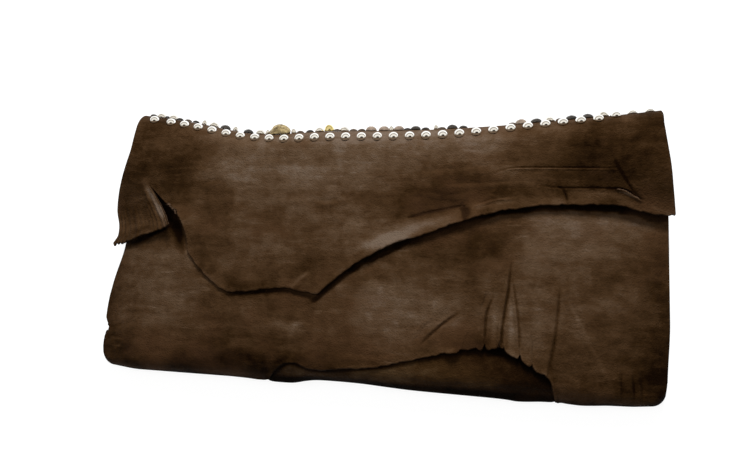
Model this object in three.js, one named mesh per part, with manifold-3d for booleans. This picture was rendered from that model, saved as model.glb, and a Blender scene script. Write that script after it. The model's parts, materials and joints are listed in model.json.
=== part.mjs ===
// A fold-over clutch bag of raw-edged hide with a studded fold, lying on its back with its front face up.
// Millimetres. +X runs to the right along the fold, +Y from the bottom edge to the fold, +Z out of the front.
import * as THREE from 'three';
import { mergeVertices } from 'three/addons/utils/BufferGeometryUtils.js';
import Module from 'manifold-3d';

const { clamp, lerp, smoothstep } = THREE.MathUtils;

// Driving dimensions
const BAG_WIDTH = 352; // from side seam to side seam
const BAG_HEIGHT = 178; // from the bottom edge to the fold, before it sags
const HIDE = 1.6; // thickness of the leather
const GAP = 0.3; // air between pieces that lie on each other
const BODY_DEPTH = 26; // from the back to the crown of the front face
const CROWN_DROP = 2.8; // how much lower the front face is at the bottom edge than at its crown
const CROWN_Y = 10; // where the front face is highest
const SEAM_LIFT = 6; // how high the side seams curl off the surface that the bag lies on
const FLAT_WIDTH = 170; // width of the flat middle of the back
const SIDE_POWER = 4; // how squarely the front face stands up from its side seams
const SEAM_SPARE = 0.5; // slack in the stack of hides at a side seam
const CORNER_RADIUS = 8; // rounding of the two bottom corners
const WAIST = 5; // how far the left side pulls in below the flap
const WAIST_Y = -5; // where it pulls in most
const BELLY = 3; // how far the left side swells out below that
const BELLY_Y = -50; // where it swells most
const SIDE_WAVE = 22; // reach along the side of the waist and of the belly
const TURN_UP = 26; // how far the back hide reaches up the front, past the bottom roll
const TURN_UP_PROUD = 2.4; // how far the turn-up stands out along the bottom where the front hide is cut back
const WRAP_HEIGHT = 2; // how far above the back the front hide ends where it wraps round the bottom edge

const FOLD_PROUD = 4; // how much higher the rolled top fold stands than the crown of the front face
const FOLD_SAG = 17.5; // how far the fold line sags in its middle
const FOLD_RISE = 0.8; // share of the sag that the fold line has climbed at its ends
const FOLD_SKEW = 0.04; // how much deeper the sag is on the left than on the right
const FOLD_DIP = 4.9; // how much further the fold dips near its heaviest ornament
const FOLD_DIP_PLACE = -0.495; // where it dips most, as a share of the half width from the middle
const FOLD_DIP_REACH = 0.215; // reach of the dip either side, as the same share
const FOLD_INSET_LEFT = 11; // how far the left end of the fold lies inside the side of the bag
const FOLD_INSET_RIGHT = 4; // how far the right end does
const FOLD_LIP = 2.4; // least length of hide between the roll and the bend of the flap
const MOUTH_GAP = 17; // from the bend of the flap to the upper edge of the front hide

const FLARE_LEFT = 11.5; // how far the left end of the flap bows out past the end of the fold
const FLARE_LEFT_LENGTH = 32; // from the bend to where the bow is full
const FLARE_RIGHT = 8; // how far the right end of the flap slants out
const FLARE_RIGHT_LENGTH = 35; // height of that slant
const FLAP_REACH = 96; // from the bend to just past the lowest point of the flap
const FLAP_STAND = 0.8; // air between the flap and the front hide
const SHOULDER = 48; // from the bend to where the flap lies on the front
const EDGE_CURL = 2.2; // how far the raw edge of the flap curls up
const EDGE_CURL_REACH = 8; // how far in from the raw edge the curl starts
const TAIL_WIDTH = 48; // width of the pleated tail at the left end of the flap
const PLEATS = 5; // pleats across the tail
const PLEAT_DEPTH = 1.1; // height of a pleat
const PLEAT_LENGTH = 52; // how far the pleats run up from the tail's edge
const TUCK_HEIGHT = 1.8; // height of the pressed tuck at the right of the flap
const TUCK_WIDTH = 3.2; // half width of the tuck
const TUCK_ZONE = 36; // from the bend to where the tuck has flattened out

const FAN_DEPTH = 1.6; // height of the creases that fan out from the raw edge of the front hide
const FAN_RADIUS = 42; // where the fan of creases is strongest, from its centre
const FAN_SPREAD = 18; // reach of the fan either side of that radius
const FAN_CREASES = 15; // creases that a full turn of the fan would have

const STUD_COUNT = 32;
const STUD_DIAMETER = 6.4;
const STUD_HEIGHT = 2.6;
const STUD_ANGLE = 29; // front row's place on the roll, in degrees from its top
// How the row drifts back over the roll towards its ends: degrees, and the shares of the half width where the
// drift starts and is complete. The last studs on the right pass over the crest.
const DRIFTS_RIGHT = [[16, 0.2, 0.72], [44, 0.78, 0.9]];
const DRIFTS_LEFT = [[9, 0.28, 0.46]];
const FIRST_STEP = 2.8; // how much longer the first step of the row is than the others
const ROW_INSET_LEFT = 27; // from the left side to the first stud
const ROW_INSET_RIGHT = 11; // from the right side to the last stud
const STONE_LENGTH = 7;
const STONE_WIDTH = 5.2;
const STONE_HEIGHT = 2.8;
const DISC_DIAMETER = 5.8;
const DISC_HEIGHT = 4.4;
const PEBBLE_LENGTH = 13;
const PEBBLE_WIDTH = 9;
const PEBBLE_HEIGHT = 6;
// Places of the second row on the roll, in degrees from its top
const BEAD_ANGLE = 76;
const STONE_ANGLE = 76;
const DISC_ANGLE = 70;
const PEBBLE_ANGLE = 70;

// Places along the flap's raw edge: share of the half width from the middle, and share of the flap's reach
// below the bend. It runs from the tail, up and down the slit, along the main edge to the right end.
const TAIL_EDGE = [[-1.1, 0.625], [-0.93, 0.599], [-0.84, 0.568], [-0.755, 0.484]];
const SLIT_TOP = [-0.864, 0.198];
const SLIT_RIGHT = [[-0.785, 0.333], [-0.72, 0.427], [-0.695, 0.542], [-0.68, 0.667]];
const MAIN_EDGE = [[-0.62, 0.766], [-0.555, 0.865], [-0.475, 0.927], [-0.31, 0.888], [-0.22, 0.9],
  [-0.16, 0.92]];
const RISING_EDGE = [[-0.105, 0.83], [-0.036, 0.722], [0.043, 0.636], [0.116, 0.567], [0.206, 0.514],
  [0.257, 0.479], [0.336, 0.423], [0.389, 0.388], [0.467, 0.352], [0.57, 0.322], [0.7, 0.301]];
const RIGHT_EDGE = [[0.84, 0.302], [0.94, 0.337], [1.1, 0.335]];
const TUCK_LINE = [[0.44, 0.177], [0.5, 0.113], [0.71, 0.09], [0.826, 0.094], [0.875, 0.219]];
// The front hide's edge, with its height above the bottom edge: it wraps below it at both ends.
const FRONT_EDGE = [[-0.36, -14], [-0.31, 4.5], [-0.28, 9.6], [-0.24, 11.2], [-0.16, 8], [-0.06, 8.6]];
const FRONT_RISE = [[0.08, 12], [0.21, 19.3], [0.32, 24.6], [0.47, 25.6], [0.565, 20.6], [0.64, 8.7],
  [0.68, -14]];
const FAN_CENTRE = [0.5, 12];

// Second row on the crest of the fold: share of the half width from the middle, and the kind of ornament
const CREST = [
  [-0.858, 'silver_bead'], [-0.804, 'silver_bead'], [-0.631, 'silver_bead'], [-0.585, 'dark_stone'],
  [-0.489, 'dark_stone'], [-0.443, 'silver_bead'], [-0.361, 'brass_pebble'], [-0.213, 'silver_bead'],
  [-0.174, 'brass_disc'], [-0.12, 'silver_bead'], [-0.02, 'taupe_stone'], [0.027, 'taupe_stone'],
  [0.083, 'taupe_stone'], [0.142, 'dark_stone'], [0.273, 'dark_stone'], [0.511, 'taupe_stone'],
  [0.562, 'dark_stone'], [0.607, 'silver_bead'], [0.679, 'dark_stone'], [0.733, 'dark_stone'],
  [0.784, 'silver_bead'],
];

// Sizes that follow from the driving dimensions
const HALF = BAG_WIDTH / 2;
const FOLD_HEIGHT = BODY_DEPTH + FOLD_PROUD;
const BOTTOM_Y = -BAG_HEIGHT / 2;
const ROLL_Y = BAG_HEIGHT / 2 - FOLD_HEIGHT / 2;
const HINGE_Y = Math.min(...steps(-1, 1, 200).map(rollY)) - FOLD_LIP;
const MOUTH_Y = HINGE_Y - MOUTH_GAP;
const SEAM_STACK = 3 * HIDE + 2 * GAP + SEAM_SPARE;
const LAYER = HIDE + GAP;
const NOSE_Y = BOTTOM_Y + (BODY_DEPTH - CROWN_DROP + LAYER) / 2;

// Materials
const leather = new THREE.MeshStandardMaterial({ color: 0x4b3a2a, roughness: 0.75 });
const darkLeather = new THREE.MeshStandardMaterial({ color: 0x38291d, roughness: 0.8 });
const silver = new THREE.MeshStandardMaterial({ color: 0xd8d8d6, roughness: 0.2, metalness: 1 });
const brass = new THREE.MeshStandardMaterial({ color: 0xb08d45, roughness: 0.35, metalness: 1 });
const taupe = new THREE.MeshStandardMaterial({ color: 0x7d7062, roughness: 0.45 });
const charcoal = new THREE.MeshStandardMaterial({ color: 0x2d2926, roughness: 0.5 });

const wasm = await Module();
wasm.setup();

// Closed solid of a geometry, with the points that its faces share made one.
function solidOf(geometry) {
  geometry.deleteAttribute('normal');
  geometry.deleteAttribute('uv');
  const welded = mergeVertices(geometry);
  const vertProperties = welded.attributes.position.array;
  const triVerts = welded.index.array;
  return new wasm.Manifold(new wasm.Mesh({ numProp: 3, vertProperties, triVerts }));
}

// Geometry of a hide after everything beyond its raw edge is cut away.
function trimmed(hide, waste) {
  const cut = solidOf(hide).subtract(solidOf(waste)).getMesh();
  const geometry = new THREE.BufferGeometry();
  geometry.setAttribute('position', new THREE.BufferAttribute(cut.vertProperties, 3));
  geometry.setIndex(new THREE.BufferAttribute(cut.triVerts, 1));
  geometry.computeVertexNormals();
  return geometry;
}

// Upright block that stands on an outline in the plan, tall enough to cut through the whole bag.
function blockOn(outline) {
  const depth = BODY_DEPTH + FOLD_HEIGHT;
  const block = new THREE.ExtrudeGeometry(outline, { depth, bevelEnabled: false, curveSegments: 5 });
  return block.translate(0, 0, -BODY_DEPTH / 2);
}

// Share 0 to 1 of the way from the flat middle of the back to a side seam, eased.
function sideRise(u) {
  const flat = FLAT_WIDTH / BAG_WIDTH;
  return Math.pow(Math.max(0, (Math.abs(u) - flat) / (1 - flat)), 2);
}

// Plan position across the bag: u is -1 at the left side seam and 1 at the right one.
function planX(u, y) {
  const waist = WAIST * Math.exp(-Math.pow((y - WAIST_Y) / SIDE_WAVE, 2));
  const belly = BELLY * Math.exp(-Math.pow((y - BELLY_Y) / SIDE_WAVE, 2));
  const inset = (u < 0 ? FOLD_INSET_LEFT : FOLD_INSET_RIGHT) * smoothstep(y, MOUTH_Y - MOUTH_GAP, HINGE_Y);
  return u * (HALF - inset) + Math.pow(Math.max(0, -u), 3) * (waist - belly);
}

// Middle of the roll: the fold line sags in its middle and dips again left of it.
function rollY(u) {
  const dip = FOLD_DIP * Math.exp(-Math.pow((u - FOLD_DIP_PLACE) / FOLD_DIP_REACH, 2));
  return ROLL_Y - FOLD_SAG * (1 - FOLD_RISE * u * u) * (1 - FOLD_SKEW * u) - dip;
}

// Creases that fan out from the raw edge of the front hide, always outwards.
function fan(x, y) {
  const dx = x - FAN_CENTRE[0] * HALF;
  const dy = y - BOTTOM_Y - FAN_CENTRE[1];
  const reach = Math.exp(-Math.pow((Math.hypot(dx, dy) - FAN_RADIUS) / FAN_SPREAD, 2));
  const ridge = 0.5 + 0.5 * Math.cos(FAN_CREASES * Math.atan2(dx, dy));
  return dy > 0 ? FAN_DEPTH * reach * ridge : 0;
}

// Height of the outer side of the front hide: a cushion that thins to the stack of hides at the seams.
function faceZ(u, y) {
  const seam = SEAM_LIFT + SEAM_STACK;
  const crown = BODY_DEPTH - CROWN_DROP * Math.pow((Math.max(y, NOSE_Y) - CROWN_Y) / (CROWN_Y - NOSE_Y), 2);
  return lerp(crown, seam, Math.pow(clamp(Math.abs(u), 0, 1), SIDE_POWER));
}

// Share 0 to 1 of how far u lies inside the stretch of bottom edge that the front hide leaves bare.
function bareShare(u) {
  const left = smoothstep(u, FRONT_EDGE[2][0], FRONT_EDGE[4][0]);
  const right = smoothstep(-u, -FRONT_RISE[4][0], -FRONT_RISE[3][0]);
  return left * right;
}

// Roll round the bottom edge at u: its middle and the outer radius of the back hide there.
function bottomRoll(u) {
  const lift = SEAM_LIFT * sideRise(u);
  const radius = (faceZ(u, NOSE_Y) - LAYER - lift) / 2;
  const past = clamp((Math.abs(u) - 1) * HALF + CORNER_RADIUS, 0, CORNER_RADIUS);
  const corner = CORNER_RADIUS - Math.sqrt(CORNER_RADIUS * CORNER_RADIUS - past * past);
  return { radius, y: BOTTOM_Y + corner + radius + LAYER, z: lift + radius };
}

// Outer side of the back hide. Stretches of s: 0 to 1 the lip, 1 to 2 the top roll, 2 to 3 the back,
// 3 to 4 the bottom roll, 4 to 5 the turn-up on the front.
function backSkin(u, s) {
  const lift = SEAM_LIFT * sideRise(u);
  const radius = (FOLD_HEIGHT - lift) / 2;
  const bottom = bottomRoll(u);
  const t = s - Math.min(Math.floor(s), 4);
  let y = lerp(HINGE_Y + GAP / 2, rollY(u), t);
  let z = FOLD_HEIGHT;
  if (s >= 4) {
    y = bottom.y + TURN_UP * t;
    z = faceZ(u, y) - LAYER;
  } else if (s >= 3) {
    const proud = TURN_UP_PROUD * bareShare(u) * (1 - smoothstep(t, 0.55, 0.78));
    y = bottom.y - (bottom.radius + proud) * Math.sin(Math.PI * t);
    z = bottom.z - bottom.radius * Math.cos(Math.PI * t);
  } else if (s >= 2) {
    y = lerp(rollY(u), bottom.y, t);
    z = lift;
  } else if (s >= 1) {
    y = rollY(u) + radius * Math.sin(Math.PI * t);
    z = lift + radius + radius * Math.cos(Math.PI * t);
  }
  return new THREE.Vector3(planX(u, y), y, z);
}

// Outer side of the front hide. Stretches of s: 0 to 1 round the bottom edge, 1 to 2 up to the mouth.
function frontSkin(u, s) {
  const bottom = bottomRoll(u);
  const radius = bottom.radius + LAYER;
  const wrap = Math.asin((bottom.radius - WRAP_HEIGHT) / radius);
  const turn = lerp(-wrap, Math.PI / 2, Math.min(s, 1));
  const y = s < 1 ? bottom.y - radius * Math.cos(turn) : lerp(bottom.y, MOUTH_Y, s - 1);
  const x = planX(u, y);
  const z = s < 1 ? bottom.z + radius * Math.sin(turn) : faceZ(u, y) + fan(x, y);
  return new THREE.Vector3(x, y, z);
}

// Points of an outline from shares across the bag and distances, in the given unit, from a start line.
function outlinePoints(list, startY, unit) {
  return list.map(([share, distance]) => new THREE.Vector2(share * HALF, startY + unit * distance));
}

// Outline of what is cut off beyond the flap's raw edge: below it, and inside the slit beside the tail.
function flapWaste() {
  const [tail, slitTop, slit, main, rising, right] =
    [TAIL_EDGE, [SLIT_TOP], SLIT_RIGHT, MAIN_EDGE, RISING_EDGE, RIGHT_EDGE]
      .map((list) => outlinePoints(list, HINGE_Y, -FLAP_REACH));
  const outline = new THREE.Shape();
  outline.moveTo(tail[0].x, tail[0].y);
  outline.splineThru(tail.slice(1));
  outline.lineTo(slitTop[0].x, slitTop[0].y);
  outline.splineThru(slit);
  outline.splineThru(main);
  outline.splineThru([...rising, ...right]);
  outline.lineTo(right.at(-1).x, HINGE_Y - FLAP_REACH - HIDE);
  outline.lineTo(tail[0].x, HINGE_Y - FLAP_REACH - HIDE);
  return outline;
}

// Outline of what is cut off below the front hide's raw edge.
function frontWaste() {
  const points = outlinePoints([...FRONT_EDGE, ...FRONT_RISE], BOTTOM_Y, 1);
  const outline = new THREE.Shape();
  outline.moveTo(points[0].x, points[0].y);
  outline.splineThru(points.slice(1));
  return outline;
}

const flapEdge = flapWaste();
const flapEdgePoints = flapEdge.getPoints(6);
const tuckPoints = new THREE.SplineCurve(outlinePoints(TUCK_LINE, HINGE_Y, -FLAP_REACH)).getPoints(24);

// Shortest distance in the plan from a place to any point of a line.
function distanceTo(points, x, y) {
  return Math.min(...points.map((point) => Math.hypot(point.x - x, point.y - y)));
}

// Outer side of the flap: it leaves the fold level, comes down onto the front and spreads past its ends.
// a runs from -1 at its left end to 1 at its right end, and y is the place along the bag.
function flapSkin(a, y) {
  const drop = HINGE_Y - y;
  const bow = FLARE_LEFT * Math.sin(Math.PI / 2 * clamp(drop / FLARE_LEFT_LENGTH, 0, 1));
  const slant = FLARE_RIGHT * clamp(drop / FLARE_RIGHT_LENGTH, 0, 1);
  const x = planX(a, HINGE_Y) + a * Math.abs(a) * (a < 0 ? bow : slant);
  const rest = faceZ(x / HALF, y) + LAYER - GAP + FLAP_STAND;
  const settled = smoothstep(drop, 0, SHOULDER);
  const curl = EDGE_CURL * Math.exp(-distanceTo(flapEdgePoints, x, y) / EDGE_CURL_REACH);
  const tuck = TUCK_HEIGHT * Math.exp(-Math.pow(distanceTo(tuckPoints, x, y) / TUCK_WIDTH, 2));
  const fromEnd = -(a + 1) * planX(-1, HINGE_Y) / TAIL_WIDTH;
  const pleat = fromEnd < 1 ? 0.5 - 0.5 * Math.cos(2 * Math.PI * PLEATS * fromEnd) : 0;
  const pleated = PLEAT_DEPTH * pleat * smoothstep(drop, PLEAT_LENGTH / 4, PLEAT_LENGTH);
  return new THREE.Vector3(x, y, lerp(FOLD_HEIGHT, rest, settled) + settled * (curl + tuck) + pleated);
}

// A hide: a thin block with a grid of places on it, carried onto a skin. The inner side lies one
// thickness inside the skin, square to the section that the skin has at that place across the bag.
function hideOn(skin, across, along) {
  const block = new THREE.BoxGeometry(1, 1, 1, across.length - 1, along.length - 1, 1);
  const places = block.attributes.position;
  const step = 1e-3;
  for (let i = 0; i < places.count; i += 1) {
    const a = across[Math.round((places.getX(i) + 0.5) * (across.length - 1))];
    const s = along[Math.round((places.getY(i) + 0.5) * (along.length - 1))];
    const place = skin(a, s);
    if (places.getZ(i) < 0) {
      const before = skin(a, Math.max(along[0], s - step));
      const after = skin(a, Math.min(along.at(-1), s + step));
      const run = Math.hypot(after.y - before.y, after.z - before.z);
      place.y += HIDE * (after.z - before.z) / run;
      place.z -= HIDE * (after.y - before.y) / run;
    }
    places.setXYZ(i, place.x, place.y, place.z);
  }
  return block;
}

// Evenly spaced numbers from one value to another, both included.
function steps(from, to, count) {
  return Array.from({ length: count + 1 }, (_, i) => lerp(from, to, i / count));
}

// Places across the bag, closer together towards the side seams, as seen on a turned arc.
const CROWDING = 1.35;
const acrossBag = steps(-1, 1, 30).map((t) => Math.sin(CROWDING * t) / Math.sin(CROWDING));

function makeBackPanel() {
  const along = [0, ...steps(1, 2, 10), ...steps(2, 3, 3).slice(1), ...steps(3, 4, 8).slice(1), 4.5, 5];
  return hideOn(backSkin, acrossBag, along);
}

function makeFrontPanel() {
  const wrapRows = steps(0, 1, 6);
  const faceRows = steps(1, 2, 8).slice(1);
  return trimmed(hideOn(frontSkin, acrossBag, [...wrapRows, ...faceRows]), blockOn(frontWaste()));
}

function makeFlap() {
  const tailEnd = -1 - TAIL_WIDTH / planX(-1, HINGE_Y);
  const across = [...steps(-1, tailEnd, 2 * PLEATS), ...steps(tailEnd, 1, 30).slice(1)];
  const drops = [...steps(FLAP_REACH, TUCK_ZONE, 7), ...steps(TUCK_ZONE, GAP / 2, 12).slice(1)];
  return trimmed(hideOn(flapSkin, across, drops.map((drop) => HINGE_Y - drop)), blockOn(flapEdge));
}

// Solid of revolution about +Y from its base up: [radius, height] pairs from the axis to the axis.
function turned(profile) {
  return new THREE.LatheGeometry(profile.map(([radius, height]) => new THREE.Vector2(radius, height)), 10);
}

// A low dome with a flat base, rounder at its foot than at its top.
function dome(length, width, height) {
  const shape = turned([[0, 0], [0.5, 0], [0.47, 0.4], [0.3, 0.82], [0, 1]]);
  return shape.scale(length, height, width);
}

const stud = () => dome(STUD_DIAMETER, STUD_DIAMETER, STUD_HEIGHT);
const stone = () => dome(STONE_LENGTH, STONE_WIDTH, STONE_HEIGHT);
const disc = () => dome(DISC_DIAMETER, DISC_DIAMETER, DISC_HEIGHT);
const pebble = () => dome(PEBBLE_LENGTH, PEBBLE_WIDTH, PEBBLE_HEIGHT);

const ornaments = {
  silver_bead: { shape: stud, material: silver, angle: BEAD_ANGLE },
  brass_disc: { shape: disc, material: brass, angle: DISC_ANGLE },
  brass_pebble: { shape: pebble, material: brass, angle: PEBBLE_ANGLE },
  taupe_stone: { shape: stone, material: taupe, angle: STONE_ANGLE },
  dark_stone: { shape: stone, material: charcoal, angle: STONE_ANGLE },
};

// Seats a piece on the top roll, its base square to the hide and its length along the fold.
function seatOnRoll(mesh, x, angle) {
  const u = x / Math.abs(planX(Math.sign(x), ROLL_Y));
  const s = 1 + angle / 180;
  const step = 1e-3;
  const alongFold = backSkin(u + step, s).sub(backSkin(u - step, s)).normalize();
  const overRoll = backSkin(u, s + step).sub(backSkin(u, s - step)).normalize();
  const outward = alongFold.clone().cross(overRoll).normalize();
  const third = alongFold.clone().cross(outward);
  mesh.quaternion.setFromRotationMatrix(new THREE.Matrix4().makeBasis(alongFold, outward, third));
  mesh.position.copy(backSkin(u, s)).addScaledVector(outward, GAP);
}

const bag = new THREE.Group();

function addPiece(name, geometry, material) {
  const mesh = new THREE.Mesh(geometry, material);
  mesh.name = name;
  bag.add(mesh);
  return mesh;
}

addPiece('back_panel', makeBackPanel(), darkLeather);
addPiece('front_panel', makeFrontPanel(), leather);
addPiece('flap', makeFlap(), leather);

const numbered = (name, number) => `${name}_${String(number).padStart(2, '0')}`;

// Place of the stud row on the roll, in degrees, at a share of the half width.
function rowAngle(share) {
  const drifts = share < 0 ? DRIFTS_LEFT : DRIFTS_RIGHT;
  return drifts.reduce((sum, [angle, from, full]) => sum + angle * smoothstep(Math.abs(share), from, full),
    STUD_ANGLE);
}

steps(ROW_INSET_LEFT - HALF, HALF - ROW_INSET_RIGHT, STUD_COUNT - 1).forEach((even, i) => {
  const x = i ? even : even - FIRST_STEP;
  seatOnRoll(addPiece(numbered('stud', i + 1), stud(), silver), x, rowAngle(x / HALF));
});

const made = {};
CREST.forEach(([share, kind]) => {
  const { shape, material, angle } = ornaments[kind];
  made[kind] = (made[kind] ?? 0) + 1;
  seatOnRoll(addPiece(numbered(kind, made[kind]), shape(), material), share * HALF, angle);
});

// The origin lies under the middle of the bag.
const middle = new THREE.Box3().setFromObject(bag, true).getCenter(new THREE.Vector3());
bag.position.set(-middle.x, -middle.y, 0);

export default bag;
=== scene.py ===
# %% [markdown]
# # A fold-over clutch bag of raw-edged hide
#
# The bag lies on its back with its front face up. Three hides make it: a back hide that rolls over the top
# and turns up round the bottom edge, a front hide with a ragged lower edge, and a flap that folds down over
# the front. Silver studs, beads and stones sit on the rolled fold. This lesson builds each of them as a
# surface worked out with numpy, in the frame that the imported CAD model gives.

# %% Load the frame
import json

import bpy
import numpy as np
from mathutils import Matrix, Vector


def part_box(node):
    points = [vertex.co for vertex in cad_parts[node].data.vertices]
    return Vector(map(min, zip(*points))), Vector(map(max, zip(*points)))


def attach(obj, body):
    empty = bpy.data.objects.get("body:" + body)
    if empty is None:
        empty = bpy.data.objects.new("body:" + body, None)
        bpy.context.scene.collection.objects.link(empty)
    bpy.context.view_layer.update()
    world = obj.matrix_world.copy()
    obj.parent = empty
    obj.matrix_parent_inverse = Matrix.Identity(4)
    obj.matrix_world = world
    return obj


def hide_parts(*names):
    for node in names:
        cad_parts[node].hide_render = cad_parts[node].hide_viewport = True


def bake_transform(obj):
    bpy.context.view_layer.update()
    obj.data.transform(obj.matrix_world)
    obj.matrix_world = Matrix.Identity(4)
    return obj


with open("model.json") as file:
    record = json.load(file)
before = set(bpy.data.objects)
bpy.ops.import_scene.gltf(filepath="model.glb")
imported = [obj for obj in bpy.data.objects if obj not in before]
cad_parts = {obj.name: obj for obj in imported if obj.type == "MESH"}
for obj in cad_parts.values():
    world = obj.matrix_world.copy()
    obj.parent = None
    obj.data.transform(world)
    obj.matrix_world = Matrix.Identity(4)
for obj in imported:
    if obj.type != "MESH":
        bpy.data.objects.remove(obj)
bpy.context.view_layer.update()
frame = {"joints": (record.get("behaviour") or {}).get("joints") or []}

# %% [markdown]
# ## Sizes
#
# Every formula below works in millimetres from the middle of the bag, because a leather worker thinks in
# millimetres. One shift, read from the frame, carries the results to the frame's own origin, and one
# factor turns them into Blender's metres.

# %% Driving dimensions of the bag
MM = 0.001
HALF = 176.0  # half the width, seam to seam
BOTTOM_Y = -89.0  # the bottom edge
HIDE = 1.6  # thickness of the leather
GAP = 0.3  # air between hides that lie on each other
LAYER = HIDE + GAP
CROWN, CROWN_DROP, CROWN_Y = 26.0, 2.8, 10.0  # height of the front face, and how it falls to the bottom
SEAM_LIFT, SEAM_Z = 6.0, 11.9  # height of the side seam's underside and of its top
FLAT_SHARE = 170.0 / (2 * HALF)  # share of the back that lies flat
NOSE_Y = BOTTOM_Y + (CROWN - CROWN_DROP + LAYER) / 2  # middle of the bottom roll, where the face begins
FOLD_Z, ROLL_Y = 30.0, 74.0  # top of the fold, and its line before it sags
FOLD_SAG, FOLD_RISE, FOLD_SKEW = 17.5, 0.8, 0.04  # sag of its middle, share regained at its ends, lean
FOLD_DIP = (4.9, -0.495, 0.215)  # depth of a further dip, and its place and reach in half widths
HINGE_Y, MOUTH_Y = 51.96, 35.0  # the bend of the flap, and the upper edge of the front hide
FOLD_INSET = {-1: 11.0, 1: 4.0}  # how far each end of the fold lies inside the side of the bag

bend = frame["joints"][0]["pos_m"]
SHIFT = np.array([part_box("back_panel")[1].x / MM - HALF, bend[1] / MM - HINGE_Y, 0.0])
print("shift from the bag's middle to the frame's origin, mm:", SHIFT.round(3))

# %% [markdown]
# ## The bag's main form
#
# A cushion is a good first guess for a soft bag: full in the middle and thin at the seams. All three hides
# are measured from that one cushion, so that they lie on each other without cutting through.

# %% Curves that shape the cushion
def ease(x, low, high):
    """0 below low, 1 above high, and between them 3 t squared minus 2 t cubed of the share t of the way."""
    t = np.clip((x - low) / (high - low), 0.0, 1.0)
    return t * t * (3.0 - 2.0 * t)


def bell(x, middle, reach):
    """A bump of height 1: e to the minus squared distance from the middle, in units of reach."""
    return np.exp(-(((x - middle) / reach) ** 2))


def mix(a, b, share):
    """a where share is 0, b where it is 1, and in proportion between."""
    return a + (b - a) * share


def bump(x, height, middle, reach):
    """A bell of this height."""
    return height * bell(x, middle, reach)


def rise(x, height, low, high):
    """An eased climb to this height."""
    return height * ease(x, low, high)


# %% Outline and height of the cushion
WAIST, BELLY, NICK = (7.0, -5.0, 22.0), (-1.2, -50.0, 22.0), (3.4, -63.5, 4.0)  # left side: depth, y, reach
LEFT_TOP = (2.8, 56.0, 84.0)  # what draws in the left end of the fold: depth, from, to
RIGHT_TOP, RIGHT_FOOT = (1.2, 18.0, HINGE_Y), (2.0, 40.0, 80.0)  # the same at the right end and corner
LEAN_FROM = 18.0  # height from which the sides lean in towards the fold
CORNER = 8.0  # rounding of the bottom corners
LEFT_CORNER, RIGHT_CORNER = (2.2, 0.84, 1.0), (1.3, 0.88, 1.0)  # their further lift: height, from, to


def side_lift(u):
    """Height of the back above the table: 0 on the flat middle, then the square of the way to the seam."""
    return SEAM_LIFT * np.clip((np.abs(u) - FLAT_SHARE) / (1 - FLAT_SHARE), 0, None) ** 2


def plan_x(u, y):
    """Place across the bag: u times the half width, less the fold's inset at its ends. On the left a waist
    and a belly grow with the cube of u, with a small nick and a drawn-in end of the fold. On the right the
    fold's end and the bottom corner are drawn in."""
    inset = np.where(u < 0, FOLD_INSET[-1], FOLD_INSET[1]) * ease(y, LEAN_FROM, HINGE_Y)
    left, right = np.clip(-u, 0, None), np.clip(u, 0, None)
    wave = bump(y, *WAIST) + bump(y, *BELLY)
    nicks = bump(y, *NICK) + rise(y, *LEFT_TOP)
    drawn = rise(-y, *RIGHT_FOOT) + rise(y, *RIGHT_TOP)
    return u * (HALF - inset) + left**3 * wave + left**8 * nicks - right**8 * drawn


def roll_y(u):
    """Line of the fold: a parabola that sags in the middle, and a bell-shaped dip left of it."""
    return ROLL_Y - FOLD_SAG * (1 - FOLD_RISE * u * u) * (1 - FOLD_SKEW * u) - bump(u, *FOLD_DIP)


def face_z(u, y):
    """Height of the front: a parabola along y, blended to the seam's height with the fourth power of u."""
    crown = CROWN - CROWN_DROP * ((np.maximum(y, NOSE_Y) - CROWN_Y) / (CROWN_Y - NOSE_Y)) ** 2
    return mix(crown, SEAM_Z, np.clip(np.abs(u), 0, 1) ** 4)


def bottom_roll(u):
    """Radius of the back hide round the bottom edge and the (y, z) of the roll's middle."""
    radius = (face_z(u, NOSE_Y) - LAYER - side_lift(u)) / 2
    past = np.clip((np.abs(u) - 1) * HALF + CORNER, 0, CORNER)
    corner = CORNER - np.sqrt(CORNER**2 - past * past) + rise(-u, *LEFT_CORNER) + rise(u, *RIGHT_CORNER)
    return radius, BOTTOM_Y + corner + radius + LAYER, side_lift(u) + radius


def roll_point(u, turn):
    """Place on the fold: turn is the angle over the roll, 0 on top and pi underneath."""
    radius = (FOLD_Z - side_lift(u)) / 2
    y = roll_y(u) + radius * np.sin(turn)
    return np.stack([plan_x(u, y), y, FOLD_Z - radius + radius * np.cos(turn)], axis=-1)


print("fold's line at the left end, middle and right end, mm:", roll_y(np.array([-1.0, 0.0, 1.0])).round(1))

# %% [markdown]
# ## Noise and lines on the leather
#
# Leather is never quite even. Two small tools give that: a cloud, which is random heights on a lattice with
# an eased slope between them, and a crease, which is a groove with a raised lip along a drawn line.

# %% Clouds
LATTICE = 64  # heights along each side of a cloud's lattice, after which it repeats
DENTS = [(0.55, 48.0, 3), (0.22, 19.0, 5)]  # depth, size of a lattice cell, seed
WRINKLES = (0.17, 13.0, 7)


def cloud(x, y, cell, seed):
    """Smooth noise from -1 to 1: random heights on a square lattice, eased between its four corners."""
    heights = np.random.default_rng(seed).uniform(-1, 1, (LATTICE, LATTICE))
    column, row = np.floor(x / cell).astype(int), np.floor(y / cell).astype(int)
    right, up = ease(x / cell - column, 0, 1), ease(y / cell - row, 0, 1)

    def corner(i, j):
        return heights[(column + i) % LATTICE, (row + j) % LATTICE]

    return mix(mix(corner(0, 0), corner(1, 0), right), mix(corner(0, 1), corner(1, 1), right), up)


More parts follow.
